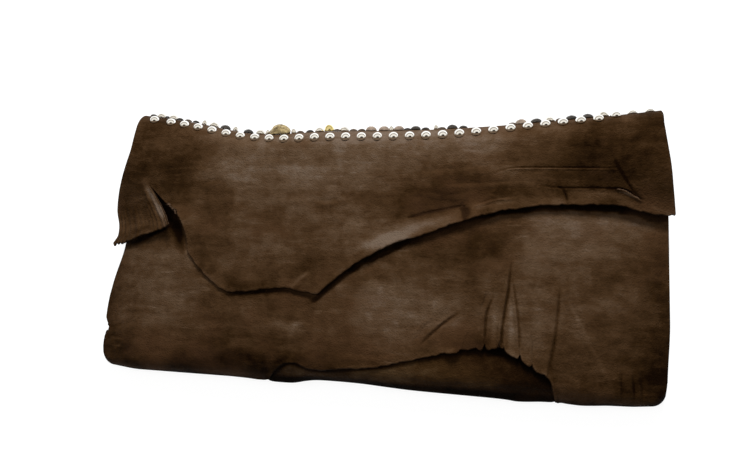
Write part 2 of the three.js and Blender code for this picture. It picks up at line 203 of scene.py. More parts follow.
def dents(x, y):
    """Dents of the filled bag, in mm: two clouds, of which the wider is the deeper, and soft wrinkles, which
    are the sharp ridges where a third, slanting cloud passes through zero."""
    depth, cell, seed = WRINKLES
    ridges = 1 - 2 * np.abs(cloud(0.8 * x + 0.6 * y, 0.8 * y - 0.3 * x, cell, seed))
    return sum(d * cloud(x, y, size, lot) for d, size, lot in DENTS) + depth * ridges


# %% Smooth lines and the distance to them
def smooth_line(points, per_span=10):
    """Curve through points: each span is the Catmull-Rom cubic of its four neighbours."""
    p = np.asarray(points, float)
    q = np.vstack([p[:1], p, p[-1:]])
    t = np.linspace(0, 1, per_span, endpoint=False)[:, None]
    spans = [
        0.5 * (2 * b + (c - a) * t + (2 * a - 5 * b + 4 * c - d) * t**2 + (3 * b - a - 3 * c + d) * t**3)
        for a, b, c, d in zip(q[:-3], q[1:-2], q[2:-1], q[3:])
    ]
    return np.vstack([*spans, p[-1:]])


def along(line):
    """Length of the line up to each of its points."""
    return np.concatenate([[0.0], np.cumsum(np.linalg.norm(np.diff(line, axis=0), axis=1))])


def spaced(line, places):
    """The same line with points at these shares of its length, or with that many at equal steps of it."""
    length = along(line)
    steps = length[-1] * (np.linspace(0, 1, places) if np.ndim(places) == 0 else places)
    return np.stack([np.interp(steps, length, line[:, k]) for k in (0, 1)], axis=1)


def from_line(x, y, line):
    """Distance of each place to the nearest span of a line, positive on its right hand, and the share of
    the line's length at that nearest point."""
    best, share = np.full(np.shape(x), 1e9), np.zeros(np.shape(x))
    length = along(line)
    for (ax, ay), (bx, by), start, end in zip(line[:-1], line[1:], length[:-1], length[1:]):
        dx, dy = bx - ax, by - ay
        t = np.clip(((x - ax) * dx + (y - ay) * dy) / (dx * dx + dy * dy + 1e-12), 0, 1)
        away = np.hypot(x - ax - t * dx, y - ay - t * dy)
        side = np.where((x - ax) * dy - (y - ay) * dx >= 0, 1.0, -1.0)
        nearer = away < np.abs(best)
        best = np.where(nearer, side * away, best)
        share = np.where(nearer, mix(start, end, t) / length[-1], share)
    return best, share


LIP_PLACE, LIP_REACH = 1.7, 1.3  # of a crease's lip, in widths of its groove


def crease(x, y, points, width, depth, lip, fade_in=0.3, fade_out=0.3):
    """A pressed line: a sharp groove, e to the minus distance in units of its width, and a rounded lip on
    its right hand. It fades in and out over the given shares of its length."""
    off, share = from_line(x, y, smooth_line(points, 6))
    strength = ease(share, 0, fade_in) * ease(1 - share, 0, fade_out)
    groove = depth * np.exp(-np.abs(off) / width)
    return strength * (bump(off, lip, LIP_PLACE * width, LIP_REACH * width) - groove)


print("height of the dents at three places, mm:", dents(np.array([-90.0, 0.0, 90.0]), np.zeros(3)).round(2))

# %% [markdown]
# ## From a surface to a hide
#
# Blender's Solidify could give the surfaces their thickness. Here the inner side is worked out with numpy
# instead, because the cut edge of a hide is rounded and slightly fuzzy: a third row of points between the
# two sides bulges out a little, and the mesh also keeps marks that the leather's material reads.

# %% Faces of a grid, and a closed hide
def grid_quads(index, turned=False):
    """Four corners of every cell of a grid of vertex numbers, counted the other way round if turned."""
    corners = [index[:-1, :-1], index[:-1, 1:], index[1:, 1:], index[1:, :-1]]
    return np.stack(corners[::-1] if turned else corners, axis=-1).reshape(-1, 4)


def normals_of(points, quads):
    """Normal of each point: the cross products of the diagonals of the faces round it, added up."""
    a, b, c, d = (points[quads[:, k]] for k in range(4))
    face = np.cross(c - a, d - b)
    total = np.zeros_like(points)
    for k in range(4):
        np.add.at(total, quads[:, k], face)
    return total / np.maximum(np.linalg.norm(total, axis=1, keepdims=True), 1e-12)


def thicken(points, quads, depth=HIDE, bulge=0.35):
    """Closed hide: the surface, a copy one thickness inside it, and a rounded rim along its free edges.
    Returns the points, the faces, and for each point 0 on the outside, 1 on the rim and 2 on the inside."""
    normal = normals_of(points, quads)
    inner = points - depth * normal
    count = len(points)
    edges = np.concatenate([quads[:, [k, (k + 1) % 4]] for k in range(4)])
    free = edges[~np.isin(edges[:, 0] * count + edges[:, 1], edges[:, 1] * count + edges[:, 0])]
    out = np.zeros_like(points)
    sideways = np.cross(points[free[:, 1]] - points[free[:, 0]], normal[free[:, 0]])
    for k in (0, 1):
        np.add.at(out, free[:, k], sideways)
    on_edge = np.unique(free)
    out = out[on_edge] / np.maximum(np.linalg.norm(out[on_edge], axis=1, keepdims=True), 1e-12)
    rim = (points[on_edge] + inner[on_edge]) / 2 + bulge * depth * out
    number = np.zeros(count, int)
    number[on_edge] = 2 * count + np.arange(len(on_edge))
    a, b = free[:, 0], free[:, 1]
    upper = np.stack([b, a, number[a], number[b]], axis=1)
    lower = np.stack([number[b], number[a], a + count, b + count], axis=1)
    side = np.concatenate([np.zeros(count), np.full(count, 2.0), np.ones(len(on_edge))])
    return np.vstack([points, inner, rim]), np.vstack([quads, quads[:, ::-1] + count, upper, lower]), side


def on_both_sides(values, points, rim):
    """Marks of a surface for the points of its hide: the same on both sides, and one value on the rim."""
    return np.concatenate([values.ravel(), values.ravel(), np.full(len(points) - 2 * values.size, rim)])


def mesh_piece(name, points, faces, marks=None):
    """Blender object at the origin with its place in its mesh, smooth faces, and named marks per point."""
    mesh = bpy.data.meshes.new(name)
    mesh.from_pydata(((points + SHIFT) * MM).tolist(), [], faces)
    mesh.polygons.foreach_set("use_smooth", np.ones(len(mesh.polygons), bool))
    for mark, values in (marks or {}).items():
        layer = mesh.attributes.new(mark, "FLOAT", "POINT")
        layer.data.foreach_set("value", np.asarray(values, np.float32))
    mesh.update()
    piece = bpy.data.objects.new(name, mesh)
    bpy.context.scene.collection.objects.link(piece)
    print(f"{name}: {len(mesh.vertices)} points, {len(mesh.polygons)} faces")
    return piece


# %% [markdown]
# ## Tones of the leather, with painted light and shade
#
# The hide was dyed by hand, so it is lighter where it is rubbed and darker towards its ends. A real maker
# would sponge the colour on in soft spots. The same is done here: soft spots, each an ellipse with a
# strength, and lines that are made pale or dark add up to one mark per point. Much of this mark is
# painted light: painted shade in creases, under the flap's edges and along the bottom, painted highlights
# on ridges and crease lips, a painted sheen along the fold, and ends darkened partly as painted shade.
# The material makes it a colour.

# %% Soft spots and lines of dye, rubbing, and painted light and shade
FLAP_TONE_AND_PAINTED_LIGHT_SPOTS = [  # x, y, reach across, reach along, strength
    # At (-20, 64) a painted sheen along the fold; at (-142, 44), (132, 50) and (172, 46) the ends are
    # darkened, partly as painted shade.
    (-20, 64, 112, 11, 0.34), (-40, 36, 62, 22, 0.24), (-142, 44, 38, 26, -0.24), (132, 50, 26, 20, -0.45),
    (172, 46, 30, 40, -0.12), (70, 55, 40, 12, 0.14), (60, 28, 42, 14, -0.22), (-20, 5, 46, 12, 0.20),
    (-73, -12, 20, 12, 0.24), (-150, 22, 26, 14, -0.14), (-112, 8, 22, 24, -0.08),
    (-124, 47, 15, 11, -0.15), (-76, 40, 34, 14, 0.20), (140, 24, 30, 8, -0.10), (10, 50, 26, 6, -0.12),
    (44, 36, 26, 10, -0.10), (36, 22, 40, 8, -0.20), (90, 38, 20, 10, 0.16), (-160, 0, 16, 12, -0.26),
]
FLAP_RUBS_AND_PAINTED_LIGHT_LINES = [  # line, reach, strength
    # A pale strip along the rising edge, partly rubbing and partly a painted highlight on its turned edge.
    ([(-8, -10), (6.5, -4.5), (19.5, 1.6), (28.3, 4.8), (36.9, 8.6), (45.5, 11.7), (57, 15.5),
      (66, 18.5)], 4.2, 0.46),
    ([(64, 17.5), (72, 20.5), (83, 23.5), (92, 24.5)], 2.4, 0.24),
    # Dark lines from here are painted shade in the creases and in the notch near x 59; pale ones are mostly
    # painted highlights on crease lips and ridges, the tail's raised border among them.
    ([(26, 12.2), (30.3, 13.4), (38.8, 15.8), (47.7, 17.7), (58, 20.2)], 0.8, -0.75),
    ([(57.6, 21.5), (58.7, 16.4), (60, 10.5)], 1.0, -0.9), ([(60.6, 20), (61.6, 13)], 1.8, -0.6),
    ([(76.9, 40.9), (86, 43.7), (102, 44.2), (142, 44.3)], 0.6, -0.32),
    ([(144.5, 49), (145.3, 46.5), (149.1, 39.9), (154.8, 31.5), (160.1, 26)], 0.7, -0.40),
    ([(140, 32.6), (148.3, 32.2), (152.6, 30.7), (160, 26.9)], 0.8, -0.80),
    ([(115.4, 31.5), (117.3, 28.1), (118.4, 23.5)], 0.8, -0.35),
    ([(124, 28.5), (145, 28.5), (158, 22)], 2.4, 0.22), ([(-46, -34), (-40, -28), (-33, -22)], 1.6, 0.26),
    ([(-154.5, 33), (-146.6, 21.6), (-140.4, 13.6), (-134.5, 6.5)], 2.3, 0.62),
    ([(-86, 30), (-86, 22), (-88, 16)], 2.0, 0.16), ([(148, 31), (155.3, 28.1), (159.8, 25.9)], 0.7, 0.75),
    ([(76, 39.6), (86, 42.9), (102, 43.4), (146, 43.5)], 0.6, 0.26),
    ([(100, 33.6), (116, 32.4), (131, 32.7), (145, 32.5)], 0.7, -0.35),
    ([(164, 24), (170, 21.5), (178, 20)], 1.4, 0.20),
]
FRONT_TONE_AND_PAINTED_LIGHT_SPOTS = [
    # Some are painted light: a painted shadow at (-138, 8) in the slit, painted shade at (-40, -45) below the
    # flap's tip, at (68, 2) below its rising edge and at (-70, -81) along the bottom, and a painted pool of
    # light at (150, 12) under the flap's right end.
    (12, -42, 46, 22, 0.22), (112, -2, 50, 22, 0.14), (-135, -42, 36, 20, 0.10), (176, -40, 14, 60, -0.32),
    (-178, -40, 9, 50, -0.16), (-70, -81, 110, 11, -0.42), (70, -62, 16, 8, -0.60),
    (130, -82, 60, 14, -0.12), (-138, 8, 14, 18, -0.24), (-134, -14, 34, 10, 0.26), (68, 2, 26, 13, -0.34),
    (165, -72, 26, 24, -0.34), (-158, -20, 16, 16, -0.16), (60, -22, 34, 14, -0.16),
    (-40, -45, 26, 9, -0.22), (150, 12, 34, 10, 0.18), (40, -66, 26, 10, -0.14), (-70, -46, 16, 6, 0.20),
]
FRONT_RUBS_AND_PAINTED_LIGHT_LINES = [
    # Pale lines on the lips of the fan creases and on the curl near x 55, partly rubbing and partly painted
    # highlight.
    ([(79, -40), (78.5, -62)], 1.8, 0.20), ([(88, -34), (88.5, -62)], 1.8, 0.22),
    ([(104, -40), (103, -66)], 3.0, 0.12), ([(62, -44), (54, -52)], 1.6, 0.12),
    ([(122, -22), (128, -40)], 2.2, 0.12), ([(-40, -84), (40, -76)], 2.0, 0.10),
    ([(52, -66), (57, -64)], 1.4, 0.30), ([(-160, -54), (-100, -58), (-60, -56)], 3.0, 0.08),
    # Painted shadows: in the slit under the main part's left edge, under the tail's edge, and a thin line
    # under the flap's lower left edge.
    ([(-155, 34), (-151, 29.5), (-144.3, 21.3), (-136.6, 13.2), (-130, 6), (-126.5, -1),
      (-123, -10)], 3.2, -1.0),
    ([(-167, -8), (-154, -3.8), (-145, 1), (-135, 5)], 1.9, -0.65),
    ([(-90, -38.8), (-64, -36.4), (-49, -35.4), (-28, -38.8)], 1.2, -0.5),
    # Painted shade in the creases, with a painted highlight on one crease's lip from (117, -27).
    ([(87.5, -12), (86.2, -30), (83.6, -50), (83, -66)], 0.7, -0.36),
    ([(88.5, -22), (92, -42), (93.7, -60)], 0.6, -0.3), ([(78, -32), (74.5, -42), (73.8, -58)], 0.7, -0.36),
    ([(58.5, -42.5), (47, -52), (36, -63)], 0.7, -0.36),
    ([(115.1, -25.3), (113.8, -48.1), (110.5, -70.5)], 0.7, -0.28),
    ([(117.3, -26.9), (130.2, -52.1), (142.9, -76.4)], 1.2, 0.12),
    ([(149.2, -72), (149.4, -86)], 0.7, -0.15), ([(155.5, -72), (156.3, -86)], 0.7, -0.2),
    ([(160, -74), (160.5, -86)], 0.7, -0.12),
]
FRONT_PAINTED_SHADOW_BANDS = [  # painted shadows that the flap's rising edge throws on the front
    ([(-30, -40), (-18, -28.9), (-5, -18), (6.9, -11.4), (20.1, -4.8), (36.1, 1.8), (45, 4.8),
      (57.3, 9.7)], 1.8, -0.5),
    ([(40, 3), (57.3, 9.7), (68.4, 14), (82.3, 18.2), (100.6, 21), (118.5, 22.2), (136.5, 22.6),
      (154.6, 21.8), (165.3, 19), (176, 19.4)], 2.2, -0.65),
]
BACK_TONE_AND_PAINTED_SHADE_SPOTS = [
    # (104, -74) is painted shade under the front hide's torn edge.
    (0, 10, 120, 60, 0.10), (-150, 0, 30, 80, -0.12), (150, 0, 30, 80, -0.12), (0, -78, 56, 9, 0.52),
    (104, -74, 26, 14, -0.30), (-42, -82, 14, 7, 0.12),
]
BACK_PAINTED_SHADOW_LINES = [
    # Painted shadows under the front hide's ragged edge: along its torn right stretch, and along its lower
    # left.
    ([(20, -72), (48, -66), (66, -63), (84, -63.5), (100, -69), (111, -78)], 3.0, -0.7),
    ([(-62, -92), (-55.6, -87), (-52.4, -84.4), (-48.6, -81.3), (-45.4, -79.3), (-42, -78.5),
      (-36.8, -79.4), (-29, -81.8), (-14, -81), (12, -77.5), (30, -73)], 0.9, -0.8),
]


LINE_END_SHARE = 0.35  # strength of a pale or dark line at its ends, as a share of its strength in the middle
SHADOW_BAND_FADE = (0.75, 1.35)  # where a painted shadow band starts to fade and where it ends, in units of its reach
SHADOW_BAND_RAGGED = (0.7, 5.0, 41)  # raggedness of a painted shadow band's border, size of a lattice cell, seed


def dye_and_painted_light(x, y, spots, rub_and_painted_light_lines=(), painted_shadow_bands=()):
    """Sum of the spots, each its strength times a bell across times a bell along, of the pale and dark lines,
    each its strength times a bell of the distance to it, and of the painted shadow bands, which end more
    firmly. Spots and lines hold tone, rubbing and painted light and shade."""
    total = sum(strength * bell(x, sx, rx) * bell(y, sy, ry) for sx, sy, rx, ry, strength in spots)
    for line, reach, strength in rub_and_painted_light_lines:
        off, share = from_line(x, y, smooth_line(line, 6))
        fading = mix(LINE_END_SHARE, 1.0, ease(share * (1 - share), 0, 0.2))
        total = total + bump(off, strength, 0.0, reach) * fading
    amount, cell, seed = SHADOW_BAND_RAGGED
    for line, reach, strength in painted_shadow_bands:
        off, _ = from_line(x, y, smooth_line(line, 6))
        ragged = np.abs(off) + amount * cloud(x, y, cell, seed)
        total = total + strength * (1 - ease(ragged, SHADOW_BAND_FADE[0] * reach, SHADOW_BAND_FADE[1] * reach))
    return total


# %% [markdown]
# ## The front hide
#
# On the real bag the front hide keeps the ragged edge of the skin. At both ends it wraps round the bottom,
# and between them its edge climbs onto the front. Each column of the grid therefore starts at the edge and
# not at a fixed height, and all its rows are spread from there up to the mouth.

# %% Raw edge and creases of the front hide
FRONT_EDGE = [  # share of the half width, height above the bottom edge
    (-0.46, -14), (-0.4, -6), (-0.36, -1), (-0.342, 0.5), (-0.321, 2.5), (-0.302, 5.2), (-0.281, 8.4),
    (-0.26, 10.5), (-0.239, 11.3), (-0.209, 10.4), (-0.166, 8), (-0.08, 8.8), (0.07, 12.3), (0.14, 15.7),
    (0.273, 22.1), (0.37, 25.5), (0.42, 26.3), (0.5, 24.5), (0.567, 18.6), (0.613, 13.8), (0.637, 9.6),
    (0.645, 3.5), (0.656, 0), (0.68, -8), (0.7, -14),
]
PROUD_LINE = [  # share of the half width, and how far the turn-up pushes the bottom edge out there
    (-0.48, 0), (-0.42, 0.3), (-0.38, 0.7), (-0.347, 0.9), (-0.327, 2.9), (-0.28, 3.2), (-0.24, 2.9),
    (-0.2, 1.4), (-0.16, 0.4), (-0.1, 0.2), (0, 0.5), (0.1, 1.5), (0.2, 2.3), (0.46, 3.1), (0.53, 3.9),
    (0.6, 3.1), (0.642, 2.7), (0.662, 1.0), (0.69, 1.3), (0.73, 1.6), (0.77, 1.2), (0.81, 0.6), (0.86, 0.3),
    (0.92, 0),
]
FRONT_CREASES = [  # line, width, depth, lip, and the shares over which it fades in and out
    ([(87.5, -8), (86.2, -30), (83.6, -50), (83, -70)], 0.8, 1.6, 1.0, 0.35, 0.02),
    ([(88.5, -22), (92, -42), (93.7, -58), (94, -70)], 0.8, 1.3, 0.9, 0.4, 0.02),
    ([(78, -30), (74.5, -42), (73.8, -56), (73.6, -70)], 0.8, 1.4, 0.8, 0.4, 0.02),
    ([(74.5, -29), (73, -35), (71.5, -40)], 0.7, 0.8, 0.5),
    ([(58.5, -42.5), (47, -52), (35, -64)], 0.7, 1.5, 0.8, 0.3, 0.35),
    ([(45, -46), (37, -54), (33, -62)], 0.8, 0.5, 0.4),
    ([(115.4, -22), (113.8, -48), (110.5, -70), (109, -80)], 0.8, 1.3, 0.8, 0.3, 0.05),
    ([(116, -24), (130.2, -52), (143, -77)], 0.9, 0.8, 0.7),
    ([(99, -46), (101, -58), (101, -70)], 0.8, 0.7, 0.6, 0.4, 0.02),
    ([(66, -50), (63, -58), (60, -68)], 0.8, 0.7, 0.5, 0.4, 0.05),
    ([(-178, -64), (-166, -62), (-148, -57)], 1.6, 1.0, 0.8, 0.02, 0.7),
    ([(-176, -72), (-168, -69), (-156, -70)], 1.4, 0.5, 0.4, 0.02, 0.7),
    ([(149, -68), (149.4, -78), (149.4, -86)], 0.8, 0.8, 0.6),
    ([(155.5, -66), (156, -77), (156.3, -86)], 0.8, 0.9, 0.6),
    ([(160, -68), (160.5, -77), (160.5, -86)], 0.8, 0.7, 0.5),
    ([(-20, -70), (10, -71), (30, -66)], 1.4, 0.4, 0.4),
    ([(-118, -26), (-96, -30), (-80, -28)], 1.6, 0.35, 0.35),
]


def front_z(x, y):
    """Height of the front hide's outer side on the face: the cushion, its dents and its creases."""
    u = x / HALF
    return face_z(u, y) + dents(x, y) * (1 - np.abs(u) ** 3) + sum(crease(x, y, *c) for c in FRONT_CREASES)


# %% Push of the turn-up, and places across the bag
SEAM_CROWD, SEAM_POWER = 1.4, 8  # how much closer columns are at the seams, and how near the seams that is
PROUD_FADE = (0.05 * np.pi, 0.28 * np.pi)  # climb over which the push of the turn-up eases away
CREASED = (0.5, 0.16)  # where the front is most creased, and its reach, in half widths


def proud(u, climb):
    """How far the bottom edge is pushed out at u: the drawn line, times the cosine of the climb, an angle
    that is 0 at the edge's outermost place, and eased away above it."""
    line = smooth_line(PROUD_LINE)
    push = np.interp(u, line[:, 0], line[:, 1]) * np.cos(climb)
    return push * (1 - ease(climb, *PROUD_FADE))


def crowded(count, busy=0.0):
    """Places across the bag from -1 to 1, closer together at the seams and, if asked, at the busy creases
    on the right: even steps of the summed-up wish for points."""
    u = np.linspace(-1, 1, 2001)
    wish = np.cumsum(1 + SEAM_CROWD * np.abs(u) ** SEAM_POWER + bump(u, busy, *CREASED))
    return np.interp(np.linspace(wish[0], wish[-1], count), wish, u)


# %% Where the front hide starts
WRAP_Z = 2.0  # height above the table side where the hide ends, where it wraps round the bottom
WRAP_DROP = 14.0  # drop below the bottom edge, in FRONT_EDGE, that stands for the whole wrap
FRAYS = [(1.3, 2.3, 11), (0.8, 6.0, 12)]  # depth of the fraying, size of a lattice cell, seed
FRAY_LEAST, FRAY_MORE = 0.3, (0.7, 80, 30)  # share of it everywhere, and more of it: share, place, reach
NOTCHES, NOTCH_REACH = [(3.2, 74), (5.5, 82), (3.0, 85), (2.2, 94), (1.8, 101)], 1.1  # tears: height, place


def bottom_wrap(u):
    """The front hide's radius round the bottom roll, the angle that it runs on under the roll's middle, and
    the (y, z) of that middle."""
    radius, middle_y, middle_z = bottom_roll(u)
    return radius + LAYER, np.arcsin((radius - WRAP_Z) / (radius + LAYER)), middle_y, middle_z


def front_start(u):
    """Where each column starts, as a length along its section from the wrapped edge: 0 where the hide wraps
    the bottom, else the length up to the ragged edge, which is drawn in the plan."""
    outer, wrap, middle_y, _ = bottom_wrap(u)
    edge = smooth_line([(s * HALF, h) for s, h in FRONT_EDGE])
    x = plan_x(u, BOTTOM_Y)
    torn = FRAY_LEAST + bump(x, *FRAY_MORE)
    height = np.interp(x, edge[:, 0], edge[:, 1], left=-WRAP_DROP, right=-WRAP_DROP)
    height = height + torn * sum(depth * cloud(x, 0 * x, cell, seed) for depth, cell, seed in FRAYS)
    height = height + sum(bump(x, tall, place, NOTCH_REACH) for tall, place in NOTCHES)
    edge_y = BOTTOM_Y + height
    on_roll = np.arccos(np.clip((middle_y - edge_y) / outer, -1, 1)) + wrap
    on_face = np.pi / 2 + wrap + (edge_y - middle_y) / outer
    under = wrap * np.clip(1 + height / WRAP_DROP, 0, 1)
    angle = np.where(edge_y > middle_y, on_face, np.where(height > 0, on_roll, under))
    return np.clip(angle, 0, None) * outer


# %% Grid of the front hide
FACE_TURN = 0.9  # angle round the bottom roll where the dents of the face begin
FRONT_COLUMNS, FRONT_ROWS, FRONT_BUSY = 370, 122, 1.6  # the last: how much closer columns are at the creases
ROW_POWER = 1.15  # above 1, rows are closer together at the ragged edge
BARE = (1.0, 14.0)  # lengths of start between which a column's edge comes from the wrap onto the face
EDGE_LIFT, EDGE_LIFT_REACH = 0.5, 4.0  # how far the ragged edge stands up, and how far in from it
EDGE_LIFTS = [(1.3, 84, 24), (2.4, 55, 4)]  # further lift: height, place, reach


def front_points(u, length):
    """Place on the front hide's outer side, from the length along its section: round the bottom roll first,
    then up the face."""
    outer, wrap, middle_y, middle_z = bottom_wrap(u)
    way = length / outer - wrap
    turn = np.minimum(way, np.pi / 2)
    y = middle_y - outer * np.cos(turn) + np.maximum(way - np.pi / 2, 0) * outer - proud(u, turn)
    x = plan_x(u, y)
    on_face = ease(turn, FACE_TURN, np.pi / 2)
    z = middle_z + outer * np.sin(turn) + (front_z(x, y) - face_z(u, NOSE_Y)) * on_face
    return np.stack([x, y, z], axis=-1)


columns = crowded(FRONT_COLUMNS, FRONT_BUSY)
outer, wrap, middle_y, _ = bottom_wrap(columns)
start, end = front_start(columns), (np.pi / 2 + wrap) * outer + MOUTH_Y - middle_y
lengths = mix(start[None, :], end[None, :], np.linspace(0, 1, FRONT_ROWS)[:, None] ** ROW_POWER)
front_surface = front_points(np.broadcast_to(columns, lengths.shape), lengths)
from_edge = lengths - start
bare = ease(start, *BARE)  # 0 where the hide wraps the bottom, 1 where its ragged edge is on the face
lift = sum((bump(front_surface[..., 0], *more) for more in EDGE_LIFTS), EDGE_LIFT)
front_surface[..., 2] += np.exp(-from_edge / EDGE_LIFT_REACH) * bare * lift
column_lengths = (end - start).round()
print("longest and shortest column of the front hide, mm:", column_lengths.max(), column_lengths.min())

# %% Mesh of the front hide
RAW_REACH = 2.2  # how far in from a ragged edge the hide looks raw
FRONT_BOTTOM_SHADE, BOTTOM_SHADE_TURN = 1.5, (0.10, 0.62)  # painted shade that blackens the bottom: strength, and where it fades
BOTTOM_SHADE_LEFT, BOTTOM_SHADE_LEFT_ZONE = 0.45, (-150, -70)  # share of it at the left end, and where it grows from there
BOTTOM_SHADE_RIGHT, BOTTOM_SHADE_RIGHT_ZONE = 0.6, (0.66, 0.8)  # share at the right end, and where it falls to that
quads = grid_quads(np.arange(lengths.size).reshape(lengths.shape))
points, faces, side = thicken(front_surface.reshape(-1, 3), quads)
raw = on_both_sides(np.exp(-from_edge / RAW_REACH) * bare, points, 1.0)
bottom_shade = 1 - ease(lengths / outer - wrap, *BOTTOM_SHADE_TURN)
bottom_shade = bottom_shade * mix(BOTTOM_SHADE_LEFT, 1.0, ease(front_surface[..., 0], *BOTTOM_SHADE_LEFT_ZONE))
bottom_shade = bottom_shade * mix(1.0, BOTTOM_SHADE_RIGHT, ease(columns, *BOTTOM_SHADE_RIGHT_ZONE))
# The mark is tone with painted light and shade, and the bottom is blackened with painted shade.
tone_and_painted_light = dye_and_painted_light(points[:, 0], points[:, 1], FRONT_TONE_AND_PAINTED_LIGHT_SPOTS, FRONT_RUBS_AND_PAINTED_LIGHT_LINES, FRONT_PAINTED_SHADOW_BANDS)
tone_and_painted_light = tone_and_painted_light - FRONT_BOTTOM_SHADE * on_both_sides(bottom_shade, points, 0.0)
front_hide = mesh_piece("front_hide", points, faces.tolist(), {"side": side, "raw": raw, "dye_and_painted_light": tone_and_painted_light})

# %% [markdown]
# ## The back hide
#
# The back is one long hide. It leaves the fold behind the studs, lies on the table, rolls round the bottom
# edge and turns up onto the front, where the ragged edge of the front hide lets a dark strip of it show.

# %% Grid of the back hide
SEAM_TURN = np.radians(118)  # where the fold's front half is carried on by the flap's piece
TURN_UP = 26.0  # reach of the turn-up
BACK_COLUMNS, ROLL_BACK_ROWS, FLAT_ROWS, BOTTOM_ROWS, TURN_ROWS = 220, 14, 55, 32, 22


def back_rows(u):
    """The section's four stretches as one stack of rows: the roll's back, the floor, the bottom roll and
    the turn-up, which keeps one layer below the front hide."""
    radius, middle_y, middle_z = bottom_roll(u)
    roll = [roll_point(u, turn) for turn in np.linspace(SEAM_TURN, np.pi, ROLL_BACK_ROWS)]
    flat = []
    for share in np.linspace(0, 1, FLAT_ROWS + 1)[1:]:
        y = mix(roll_y(u), middle_y, share)
        flat.append(np.stack([plan_x(u, y), y, side_lift(u)], axis=-1))
    bottom = []
    for turn in np.linspace(0, np.pi, BOTTOM_ROWS + 1)[1:]:
        y = middle_y - radius * np.sin(turn) - proud(u, turn - np.pi / 2)
        lowered = (front_z(plan_x(u, y), y) - face_z(u, NOSE_Y)) * ease(turn, np.pi / 2 + FACE_TURN, np.pi)
        bottom.append(np.stack([plan_x(u, y), y, middle_z - radius * np.cos(turn) + lowered], axis=-1))
    turned = []
    for share in np.linspace(0, 1, TURN_ROWS)[1:]:
        y = middle_y + TURN_UP * share
        x = plan_x(u, y)
        turned.append(np.stack([x, y, front_z(x, y) - LAYER], axis=-1))
    return np.stack(roll + flat + bottom + turned)


back_surface = back_rows(crowded(BACK_COLUMNS))
print("rows and columns of the back hide:", back_surface.shape[:2])

# %% Mesh of the back hide
BACK_TONE, BACK_BOTTOM_SHADE = -0.12, 1.2  # tone of the whole hide, and strength of the painted shade that blackens the bottom
BACK_BOTTOM_SHADE_FADE = (0.56, 0.74)  # shares of the bottom roll between which that painted shade fades
quads = grid_quads(np.arange(back_surface[..., 0].size).reshape(back_surface.shape[:2]))
points, faces, side = thicken(back_surface.reshape(-1, 3), quads)
bottom_shade = np.zeros(back_surface.shape[:2])
first = ROLL_BACK_ROWS + FLAT_ROWS
bottom_shade[first:first + BOTTOM_ROWS] = 1 - ease(np.linspace(0, 1, BOTTOM_ROWS + 1)[1:, None], *BACK_BOTTOM_SHADE_FADE)
tone_and_painted_light = dye_and_painted_light(points[:, 0], points[:, 1], BACK_TONE_AND_PAINTED_SHADE_SPOTS, BACK_PAINTED_SHADOW_LINES) + BACK_TONE
tone_and_painted_light = tone_and_painted_light - BACK_BOTTOM_SHADE * on_both_sides(bottom_shade, points, 0.0)
back_hide = mesh_piece("back_hide", points, faces.tolist(),
                       {"side": side, "raw": (side == 1).astype(float), "dye_and_painted_light": tone_and_painted_light})

# %% [markdown]
# ## The flap
#
# The flap is the bag's lid. Its lower edge is the hide's own ragged edge, and a slit near its left end frees
# a narrow tail. A plain grid can't have a slit, so the flap is two patches, the tail and the main part. Each
# is stretched between its four border lines, and they share their border only above the slit.

# %% Border lines of the flap
REACH = 96.0  # unit of the drops below: from the bend to just past the flap's lowest point
TAIL_EDGE = [(-1.1, 0.640), (-0.97, 0.612), (-0.93, 0.592), (-0.84, 0.548), (-0.748, 0.502)]
SLIT_TOP = (-0.864, 0.198)
SLIT_RIGHT = [(-0.785, 0.327), (-0.712, 0.425), (-0.678, 0.542), (-0.668, 0.667)]
MAIN_EDGE = [(-0.62, 0.766), (-0.555, 0.865), (-0.475, 0.927), (-0.31, 0.888), (-0.22, 0.9), (-0.16, 0.92)]
RISING_EDGE = [
    (-0.105, 0.83), (-0.036, 0.722), (0.043, 0.636), (0.116, 0.567), (0.206, 0.514), (0.257, 0.479),
    (0.336, 0.423), (0.389, 0.388), (0.467, 0.352), (0.57, 0.322), (0.7, 0.301),
]
RIGHT_EDGE = [(0.84, 0.302), (0.94, 0.337), (1.1, 0.335)]


def edge_line(places):
    """Smooth line through places given as shares of the half width and of the flap's reach, in mm."""
    return smooth_line([(s * HALF, HINGE_Y - d * REACH) for s, d in places])


FOLD_END = {-1: float(plan_x(-1.0, HINGE_Y)), 1: float(plan_x(1.0, HINGE_Y))}
BOW, BOW_FROM, BOW_LENGTH, BOW_POWER = -12.6, -10.0, 50.0, 2.2  # bow of the left end: reach, start, length
TAIL_IN, TAIL_OUT = (2.6, 36.0, 52.0), (-2.8, 53.0, 60.0)  # the tail's side, in and out: reach, from, to
SLANT, SLANT_FROM, SLANT_LENGTH = 8.0, -20.0, 55.0  # slant of the right end: reach, start, length


def flare(share, drop):
    """How far a column stands out past the fold's ends, for its share of the half fold: on the left a power
    of a quarter sine wave that starts on the fold, drawn in and out again at the tail's corner, on the right
    a straight slant, both times the square of the share."""
    left = BOW * np.sin(np.pi / 2 * np.clip((drop - BOW_FROM) / BOW_LENGTH, 0, 1)) ** BOW_POWER
    left = left + rise(drop, *TAIL_IN) + rise(drop, *TAIL_OUT)
    right = SLANT * np.clip((drop - SLANT_FROM) / SLANT_LENGTH, 0, 1)
    return share * share * np.where(share < 0, left, right)


def left_end(drop):
    """Left border of the flap."""
    return FOLD_END[-1] + flare(-1.0, drop)


def right_end(drop):
    """Right border of the flap."""
    return FOLD_END[1] + flare(1.0, drop)


